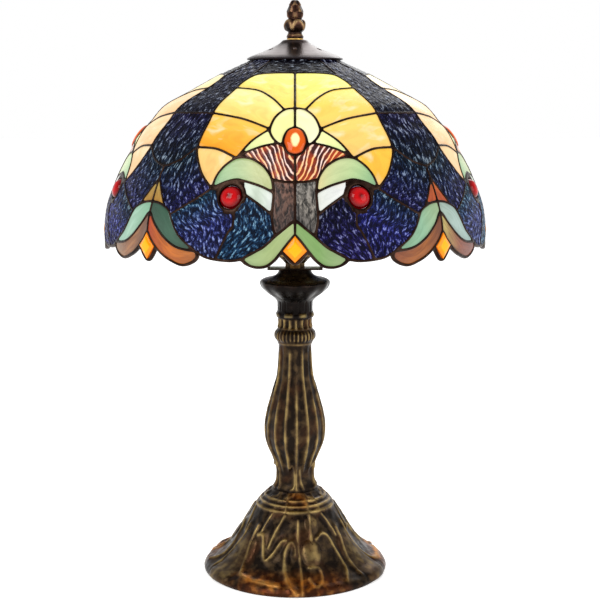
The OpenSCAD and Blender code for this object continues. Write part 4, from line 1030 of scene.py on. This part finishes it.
def foot_relief(angle, r, z):
    """Lily pads: buds, pointed leaves and curling stems that fall from three ring mouldings."""
    p = part_of(angle, LILIES, 3.0)
    kx = r * math.pi / LILIES
    ring = np.maximum(bell(z - 63.0, 0.8), np.maximum(bell(z - 59.4, 0.8), bell(z - 55.6, 1.2)))
    fall = np.clip((54.0 - z) / 54.0, 0, 1) * 60
    ribs = [([(-0.78, 19), (-0.66, 19), (-0.52, 36), (-0.42, 33), (-0.30, 22), (-0.22, 20)], 0.9, 1.3),
            ([(-0.29, 1), (-0.42, 13), (-0.50, 27)], 0.8, 1.1),
            ([(0.29, 1), (0.24, 20)], 0.8, 1.2),
            ([(-0.19, 42), (-0.21, 31), (-0.17, 24), (-0.11, 21), (-0.05, 25), (-0.05, 31)], 0.9, 1.6),
            ([(-0.19, 42), (-0.14, 48), (-0.03, 57)], 1.1, 1.5),
            ([(0.33, 20), (0.46, 16), (0.56, 18), (0.62, 26), (0.66, 43), (0.55, 51)], 0.8, 1.2),
            ([(0.86, 14), (0.86, 24), (0.80, 36), (0.78, 50)], 0.9, 1.1),
            ([(-0.86, 12), (-0.88, 26), (-0.80, 42), (-0.70, 49), (-0.42, 50), (-0.22, 51)], 0.8, 1.1),
            ([(0.14, 40), (0.27, 41), (0.28, 47), (0.18, 52), (0.12, 47)], 0.7, 1.0),
            ([(-0.62, 1), (-0.70, 10), (-0.74, 18)], 0.6, 0.7),
            ([(0.62, 1), (0.72, 10), (0.78, 20)], 0.6, 0.7),
            ([(0.02, 4), (0.0, 20), (0.03, 44), (0.02, 58)], 0.5, 0.5)]
    rise, worn = 1.1 * ring, 0.85 * ring
    for line, width, high in ribs:
        far = line_distance(p, fall, kx, line)
        flesh = bell(far, 3.6 * width)
        rise = np.maximum(rise, high * (0.75 * flesh + 0.75 * bell(far, 1.3 * width)))
        worn = np.maximum(worn, 0.68 * bell(far, 1.5 * width) + 0.14 * flesh)
    x, y = (p - 0.21) * kx / 8.4, (fall - 30) / 10.5
    bud = np.clip(1 - x ** 2 - y ** 2, 0, 1) ** 0.5
    x, y = (p - 0.30) * kx / 6.0, (fall - 8) / 8.0
    knob = np.clip(1 - x ** 2 - y ** 2, 0, 1) ** 0.5
    x, y = (1 - np.abs(p)) * kx / 15.0, (fall - 42) / 26.0
    pad = np.clip(1 - x ** 2 - y ** 2, 0, 1) ** 0.5
    rise = np.maximum(rise, np.maximum(2.5 * bud, np.maximum(1.2 * knob, 1.8 * pad)))
    worn = np.maximum(worn, np.maximum(0.62 * bud, np.maximum(0.5 * knob, 0.42 * pad)))
    for line in ([(-0.10, 68), (-0.16, 66), (-0.42, 64.4)], [(0.30, 68), (0.40, 65.6), (0.6, 64.4)],
                 [(-0.70, 68), (-0.76, 65.6), (-0.96, 64.4)]):
        on = bell(line_distance(p, z, kx, line), 0.9) * (z > 57)
        rise = rise + 0.6 * on
        worn = np.maximum(worn, 0.6 * on)
    skin = cast_skin(angle, r, z)
    drift = cast_skin(angle, r, z, 14.0)
    hem = window(z, 0.5, 12, 3) * 0.5 * np.cos(np.radians((angle - 3) * LILIES))
    # amber: painted warm reflection of the lamp's light, in a low band on each group of lilies and under the
    # top mouldings
    amber = window(fall, 42, 62, 7) * window(p, -0.85, 0.6, 0.25)
    amber = amber + 0.8 * window(z, 57, 70, 3) * bell(p - 0.05, 0.26)
    sunk = CARVED * window(z, 6, 90, 3)
    worn = np.clip(worn * (0.86 + 0.5 * drift) + 0.10 * skin + 0.12, 0, 1)
    return rise + 0.25 * skin - hem - sunk, worn, np.clip(amber * (0.65 + 0.7 * skin), 0, 1)


def stem_relief(angle, r, z):
    """Soft ridges over shallow flutes, a gadrooned ring, and curled leaves at the foot."""
    p = part_of(angle, RIDGES, 3.5)
    kx = r * math.pi / RIDGES
    fluted = np.maximum(window(z, 82, 190, 9), window(z, 203.5, 211.5, 1.2))
    ridge = bell(p * kx, 1.35)
    every_other = 0.5 + 0.5 * np.cos(np.radians((angle - 3.5) * RIDGES / 2))
    faint = 1 - 0.7 * every_other * np.clip((z - 140) / 20, 0, 1) * (z < 195)
    rise = fluted * (ridge * faint - 0.55 * (1 - ridge))
    worn = 0.7 * fluted * ridge * faint
    round_it = window(z, 191.5, 203, 2.5)
    lobe = np.clip(1 - p ** 2, 0, 1) ** 0.5
    rise += round_it * (lobe - 0.7)
    worn = np.maximum(worn, round_it * bell(np.abs(p) - 0.5, 0.2) * 0.7)
    q = part_of(angle, CURLS, 2.0)
    kx = r * math.pi / CURLS
    low = window(z, 68.5, 92, 2)
    for line in ([(-0.46, 88), (-0.26, 90), (-0.12, 86), (-0.06, 78), (-0.14, 72), (-0.4, 69.5)],
                 [(0.34, 86), (0.42, 78), (0.60, 70)], [(0.05, 88), (0.05, 70)]):
        far = line_distance(q, z, kx, line)
        rise += low * (0.8 * bell(far, 0.9) + 0.6 * bell(far, 2.4))
        worn = np.maximum(worn, low * (0.5 * bell(far, 1.1) + 0.12 * bell(far, 2.8)))
    ring = np.maximum(bell(z - 190.3, 0.7), bell(z - 203.8, 0.6))
    rise += 0.4 * ring
    worn = np.maximum(worn, 0.5 * ring)
    skin = cast_skin(angle, r, z)
    drift = cast_skin(angle, r, z, 12.0)
    worn = np.clip(worn * (0.9 + 0.4 * drift) + 0.1 * skin + 0.08, 0, 1)
    return rise + 0.15 * skin - CARVED, worn, 0 * worn


def urn_relief(angle, r, z):
    """A scalloped lip, a panelled neck and a bowl with soft lobes."""
    p = part_of(angle, RIDGES / 2, 24.5)
    lip = window(z, 212.3, 217, 1.2)
    scallop = np.clip(1 - (p / 0.7) ** 2, 0, 1) ** 0.5
    panels = part_of(angle, RIDGES, 24.5)
    neck = window(z, 217, 227, 1.5)
    bowl = window(z, 228, 243, 3)
    lobes = np.cos(np.radians(angle * 12))
    rise = lip * (0.9 * scallop - 0.4) - 0.5 * neck * bell(np.abs(panels) - 1, 0.22) + 0.35 * bowl * lobes
    worn = np.maximum(lip * scallop * 0.8, bell(z - 240.5, 0.8) * 0.3)
    skin = cast_skin(angle, r, z)
    return rise + 0.15 * skin, np.clip(worn + 0.12 * skin, 0, 1), 0 * worn


def finial_relief(angle, r, z):
    """A bud of overlapping leaves over a ball with arched petals."""
    up = z - FINIAL_Z
    top = window(up, 15, 30.5, 1.5)
    row = np.floor((up - 15) / 5.2)
    leaf = part_of(angle, 5, 36.0 * row)
    tip_at = ((up - 15) / 5.2) % 1
    scale = np.clip(1 - np.abs(leaf) * 1.1 - 0.5 * tip_at, 0, 1) ** 0.6
    ball = window(up, 5.5, 15.5, 1.5)
    petal = part_of(angle, 5, 20.0)
    arch = bell((np.sqrt(petal ** 2 + ((up - 5) / 9.5) ** 2) - 0.95) * 4, 0.9)
    rise = top * 0.8 * scale + ball * 0.7 * arch
    worn = np.maximum(top * 0.75 * scale, ball * arch * 0.85)
    worn = np.maximum(worn, bell(up - 2.6, 1.0) * 0.6)
    skin = cast_skin(angle, r, z, 2.5)
    return rise + 0.15 * skin, np.clip(worn + 0.2 * skin, 0, 1), 0 * worn


def make_castings():
    cast = bronze("gilt_bronze", (28, 20, 14), (80, 63, 42), (156, 132, 82), tint=(84, 50, 26))
    plain = bronze("dark_bronze", (16, 11, 9), (42, 33, 28), (120, 104, 66), 0.3, (54, 34, 24))
    inner = [(ROD_R, 68), (ROD_R, 63), (25.9, 58), (30.9, 50), (35.1, 43.3), (38.5, 37.9), (41.5, 32.5),
             (44.9, 26.9), (49, 20.9), (50, 18.2), (50, 15.8), (56, 15.8), (62, 9.6), (70, 4.4), (72.6, 0.6)]
    foot = lathe("foot_casting", FOOT, inner, 480, foot_relief, "stand", cast, "foot", 0.85)
    drill_inlet(foot)
    bore = [(ROD_R, 212), (ROD_R, 206), (10.4, 200), (10.4, 90), (ROD_R, 74), (ROD_R, 68)]
    lathe("stem_casting", STEM, bore, 320, stem_relief, "stand", cast, "stem", 0.8)
    cup = [(ROD_R, 251), (ROD_R, 247), (20, 240), (10.8, 226), (10.8, 221), (ROD_R, 221), (ROD_R, 212)]
    lathe("urn_casting", URN, cup, 256, urn_relief, "stand", plain, "urn", 0.7)
    bud = [(6.2, FINIAL_Z), (6.7, 436.7), (5.4, 439.8), (7, 441.5), (8.2, 443.9), (8.2, 446.3), (7.2, 448.7),
           (5.3, 450.7), (6, 452.9), (6.1, 455.7), (5.2, 458.7), (3.9, 461.9), (2.2, 464.3), (0.01, 465.3)]
    red = bronze("finial_bronze_patina", (34, 22, 17), (92, 62, 48), (166, 136, 96), 0.32, (104, 58, 40))
    lathe("finial_bud", bud, [(0.01, 447.2), (3.25, 447.2), (3.25, FINIAL_Z)], 128, finial_relief, "finial",
          red, "finial", 0.5)


def drill_inlet(foot):
    """The hole in the back of the foot, which the cord's bushing fills."""
    low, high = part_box("cord_bushing")
    shape = bmesh.new()
    bmesh.ops.create_cone(shape, cap_ends=True, segments=48, radius1=INLET_R * MM, radius2=INLET_R * MM,
                          depth=26 * MM)
    cut(foot, shape, (low + high) / 2, 90)


# ---------------------------------------- cap
CAP_Z = 418.7                   # underside of the cap's rim
CAP = [(38, 0), (38, 1), (34, 3), (26, 6.2), (19, 9.2), (12.7, 12.5), (9.4, 15.3), (6, 15.3)]
CAP_WALL = 1.1
VENTS = 6
VENT_R, VENT_AT = 2.2, 22.0     # radius of a vent, and its distance from the axis


def cap_patina():
    """Brown patina that darkens towards the rim."""
    material, tree, shader = new_material("cap_patina", Metallic=1.0, Roughness=0.3)
    spot = place(tree)
    cloudy = grain(tree, spot, 60.0, 4.0, 0.5)
    tone = ramp(tree, cloudy, [(0.3, (50, 40, 38)), (0.5, (74, 62, 60)), (0.7, (98, 88, 86))])
    low = math_node(tree, "ADD", swing(tree, height_of(tree, spot), CAP_Z * MM, 180.0),
                    math_node(tree, "MULTIPLY", cloudy, 0.4))
    colour = mix(tree, ramp(tree, low, [(0.35, 0.0), (0.75, 1.0)]), rgba((46, 40, 42)), tone)
    link(tree, colour, shader, "Base Color")
    bump(tree, shader, grain(tree, spot, 220.0, 3.0), 0.25, 0.25)
    return material


def make_cap():
    """Spun cap with a rolled rim and a ring of drilled vents."""
    top = smooth([(r, CAP_Z + z) for r, z in CAP[1:-1]] + [(7.4, 434), (3.6, 434)], 10)
    rim = [(36.6, CAP_Z), (38, CAP_Z)]
    under = [(max(r - 0.5, 3.6), z - CAP_WALL) for r, z in top[::-1]]
    line = np.array(rim + list(map(tuple, top)) + under)
    segments = 192
    t = np.radians(np.arange(segments) * 360 / segments)
    r, z = line[:, :1] + 0 * t, line[:, 1:] + 0 * t
    swell = 0.12 * np.sin(3 * t) * (r > 30)
    points = np.stack([(r + swell) * np.sin(t), -(r + swell) * np.cos(t), z], axis=-1).reshape(-1, 3)
    at = np.arange(len(line) * segments).reshape(len(line), segments)
    up, beside = np.roll(at, -1, axis=0), np.roll(at, -1, axis=1)
    faces = np.stack([at, beside, np.roll(up, -1, axis=1), up], axis=-1).reshape(-1, 4)
    cap = piece("cap_spun", points, faces.tolist(), "cap", cap_patina(), ("top_cap",))
    vents = bmesh.new()
    for k in range(VENTS):
        a = math.radians(k * 360 / VENTS)
        made = bmesh.ops.create_cone(vents, cap_ends=True, segments=32, radius1=VENT_R * MM,
                                     radius2=VENT_R * MM, depth=20 * MM)
        middle = (VENT_AT * MM * math.sin(a), -VENT_AT * MM * math.cos(a), (CAP_Z + 8) * MM)
        bmesh.ops.translate(vents, verts=made["verts"], vec=middle)
    cut(cap, vents)
    cap.data.set_sharp_from_angle(angle=math.radians(40))


# ---------------------------------------- CAD nodes
def worn_metal(name, stops, glossy=0.2, dull=0.4, scale=120.0):
    """Metal whose colour and gloss drift with handling, brushed by fine scratches."""
    material, tree, shader = new_material(name, Metallic=1.0)
    at = place(tree)
    link(tree, ramp(tree, grain(tree, at, scale, 5.0), stops), shader, "Base Color")
    rough = ramp(tree, grain(tree, at, scale * 3, 4.0), [(0.3, glossy), (0.7, dull)])
    link(tree, rough, shader, "Roughness")
    bump(tree, shader, grain(tree, scaled(tree, at, (1, 1, 8)), scale * 6, 3.0), 0.2, 0.15)
    return material


def matt_stuff(name, stops, roughness, scale, strength=0.6, depth=0.3, **sockets):
    """Fibre, felt, ceramic or plastic: a grained surface without metal."""
    material, tree, shader = new_material(name, Roughness=roughness, **sockets)
    at = place(tree)
    fibres = grain(tree, at, scale, 6.0, 0.3, 0.65)
    link(tree, ramp(tree, fibres, stops), shader, "Base Color")
    bump(tree, shader, fibres, strength, depth)
    return material


def lit_bulb():
    """Frosted glass, brightest over its globe and amber towards the neck."""
    material, tree, shader = new_material("bulb_lit_frost", Roughness=0.35, Emission_Strength=0.85)
    at = place(tree)
    up = swing(tree, height_of(tree, at), BULB_NECK_Z * MM, 16.0)
    level = math_node(tree, "ADD", up, math_node(tree, "MULTIPLY", grain(tree, at, 60.0, 2.0), 0.15))
    colour = ramp(tree, level, [(0.0, (150, 92, 40)), (0.4, (236, 186, 116)), (0.8, (250, 224, 172))])
    link(tree, colour, shader, "Emission Color")
    link(tree, colour, shader, "Base Color")
    return material


def glowing_wire():
    material, tree, shader = new_material("glowing_tungsten", Roughness=0.4, Emission_Strength=4.0)
    colour = ramp(tree, grain(tree, place(tree), 900.0), [(0.3, (255, 176, 84)), (0.7, (255, 222, 160))])
    link(tree, colour, shader, "Emission Color")
    link(tree, colour, shader, "Base Color")
    return material


def dress_cad_nodes():
    """Materials of the CAD nodes whose own shape shows."""
    brass_parts = ["screw_shell", "centre_contact", "terminal_screws", "harp_sleeve_left",
                   "harp_sleeve_right", "swivel_stud", "shade_ring", "shade_spider", "cap_washer"]
    dressed = [
        (worn_metal("aged_brass", [(0.3, (74, 52, 28)), (0.5, (124, 96, 54)), (0.7, (156, 126, 76))], 0.28,
                    0.5),
         ["saddle_nut", "socket_cap", "socket_shell", "harp"]),
        (worn_metal("lacquered_brass", [(0.3, (168, 128, 62)), (0.5, (204, 164, 90)),
                                        (0.7, (220, 184, 112))]), brass_parts),
        (worn_metal("oil_rubbed_steel", [(0.3, (24, 18, 15)), (0.5, (44, 34, 28)), (0.7, (72, 58, 44))]),
         ["harp_saddle"]),
        (worn_metal("zinc_plate", [(0.3, (150, 152, 150)), (0.5, (176, 176, 170)), (0.7, (196, 194, 178))]),
         ["rod_washer", "rod_nut", "threaded_rod"]),
        (worn_metal("rolled_aluminium", [(0.3, (190, 190, 188)), (0.7, (222, 222, 218))], 0.15, 0.3, 90.0),
         ["bulb_cap", "bulb_contact"]),
        (matt_stuff("raw_iron", [(0.3, (30, 30, 32)), (0.5, (52, 50, 50)), (0.7, (86, 62, 48))], 0.7, 240.0),
         ["ballast_plate"]),
        (matt_stuff("pressed_felt", [(0.3, (14, 40, 22)), (0.5, (24, 62, 34)), (0.7, (40, 84, 50))], 0.95,
                    900.0, 1.0, 0.5, Sheen_Weight=0.5, Sheen_Roughness=0.5), ["felt_pad"]),
        (matt_stuff("moulded_plastic", [(0.3, (16, 16, 17)), (0.7, (34, 34, 36))], 0.45, 500.0, 0.3),
         ["cord_bushing"]),
        (matt_stuff("pressed_card", [(0.3, (128, 100, 62)), (0.7, (170, 140, 96))], 0.85, 400.0),
         ["socket_liner"]),
        (matt_stuff("glazed_porcelain", [(0.3, (222, 218, 206)), (0.7, (244, 242, 234))], 0.15, 120.0, 0.1,
                    Coat_Weight=0.8, Coat_Roughness=0.05), ["socket_insulator"]),
        (matt_stuff("black_vitrite", [(0.3, (10, 10, 14)), (0.7, (26, 26, 32))], 0.12, 160.0, 0.15),
         ["bulb_insulator"]),
        (matt_stuff("clear_lead_glass", [(0.3, (196, 206, 204)), (0.7, (226, 234, 232))], 0.05, 90.0, 0.1,
                    0.2, Transmission_Weight=0.8, IOR=1.5), ["filament_mount"]),
        (lit_bulb(), ["bulb_glass"]), (glowing_wire(), ["filament"])]
    for material, nodes in dressed:
        for node in nodes:
            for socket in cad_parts[node].material_slots:
                socket.material = material


# ---------------------------------------- stage
FLOOR_M = 12.0                  # half the width of the floor, in metres
CAMERA_TILT = 8.88              # how far the camera looks down


def area_light(name, place_m, aim_m, size, power):
    data = bpy.data.lights.new(name, "AREA")
    data.shape = "RECTANGLE"
    data.size = data.size_y = size
    data.energy = power
    made = new_object(name, data)
    made.location = place_m
    aim = np.array(aim_m) - np.array(place_m)
    made.rotation_mode = "QUATERNION"
    made.rotation_quaternion = Vector(aim).to_track_quat("-Z", "Y")


def make_stage():
    mesh = bpy.data.meshes.new("floor")
    corners = [(-FLOOR_M, -FLOOR_M, 0), (FLOOR_M, -FLOOR_M, 0), (FLOOR_M, FLOOR_M, 0), (-FLOOR_M, FLOOR_M, 0)]
    mesh.from_pydata(corners, [], [(0, 1, 2, 3)])
    material, tree, shader = new_material("pale_floor", Roughness=0.7, Emission_Strength=0.6)
    shader.inputs["Emission Color"].default_value = (1, 1, 1, 1)
    tone = ramp(tree, grain(tree, place(tree), 3.0, 2.0), [(0.3, (244, 244, 243)), (0.7, (250, 250, 249))])
    link(tree, tone, shader, "Base Color")
    mesh.materials.append(material)
    floor = new_object("floor", mesh)
    world = bpy.data.worlds.new("studio")
    world.use_nodes = True
    sky = world.node_tree
    height = height_of(sky, add(sky, "TexCoord").outputs["Generated"])
    link(sky, ramp(sky, height, [(0.14, 1.0), (0.4, 0.42), (1.0, 0.5)]), sky.nodes["Background"], "Color")
    bpy.context.scene.world = world
    area_light("key", (-1.3, -1.6, 1.7), (0, 0, 0.25), 1.2, 22)
    area_light("fill", (1.7, -1.2, 1.0), (0, 0, 0.25), 1.4, 12)
    area_light("back", (0.3, 1.7, 1.5), (0, 0, 0.25), 1.4, 14)
    bpy.context.scene.view_settings.view_transform = "Standard"


def make_camera():
    data = bpy.data.cameras.new("camera")
    data.sensor_width = 36.0
    data.lens = 77.1
    data.shift_x = 0.0083
    data.shift_y = 0.0017
    made = new_object("camera", data)
    made.location = (0, -1.038, 0.387)
    made.rotation_euler = (math.radians(90 - CAMERA_TILT), 0, 0)
    bpy.context.scene.camera = made


make_camera()
make_stage()
make_blue_glass()
make_fan_glass()
make_tree_glass()
make_petal_glass()
make_jewels()
make_rubies()
make_solder()
make_castings()
make_cap()
dress_cad_nodes()
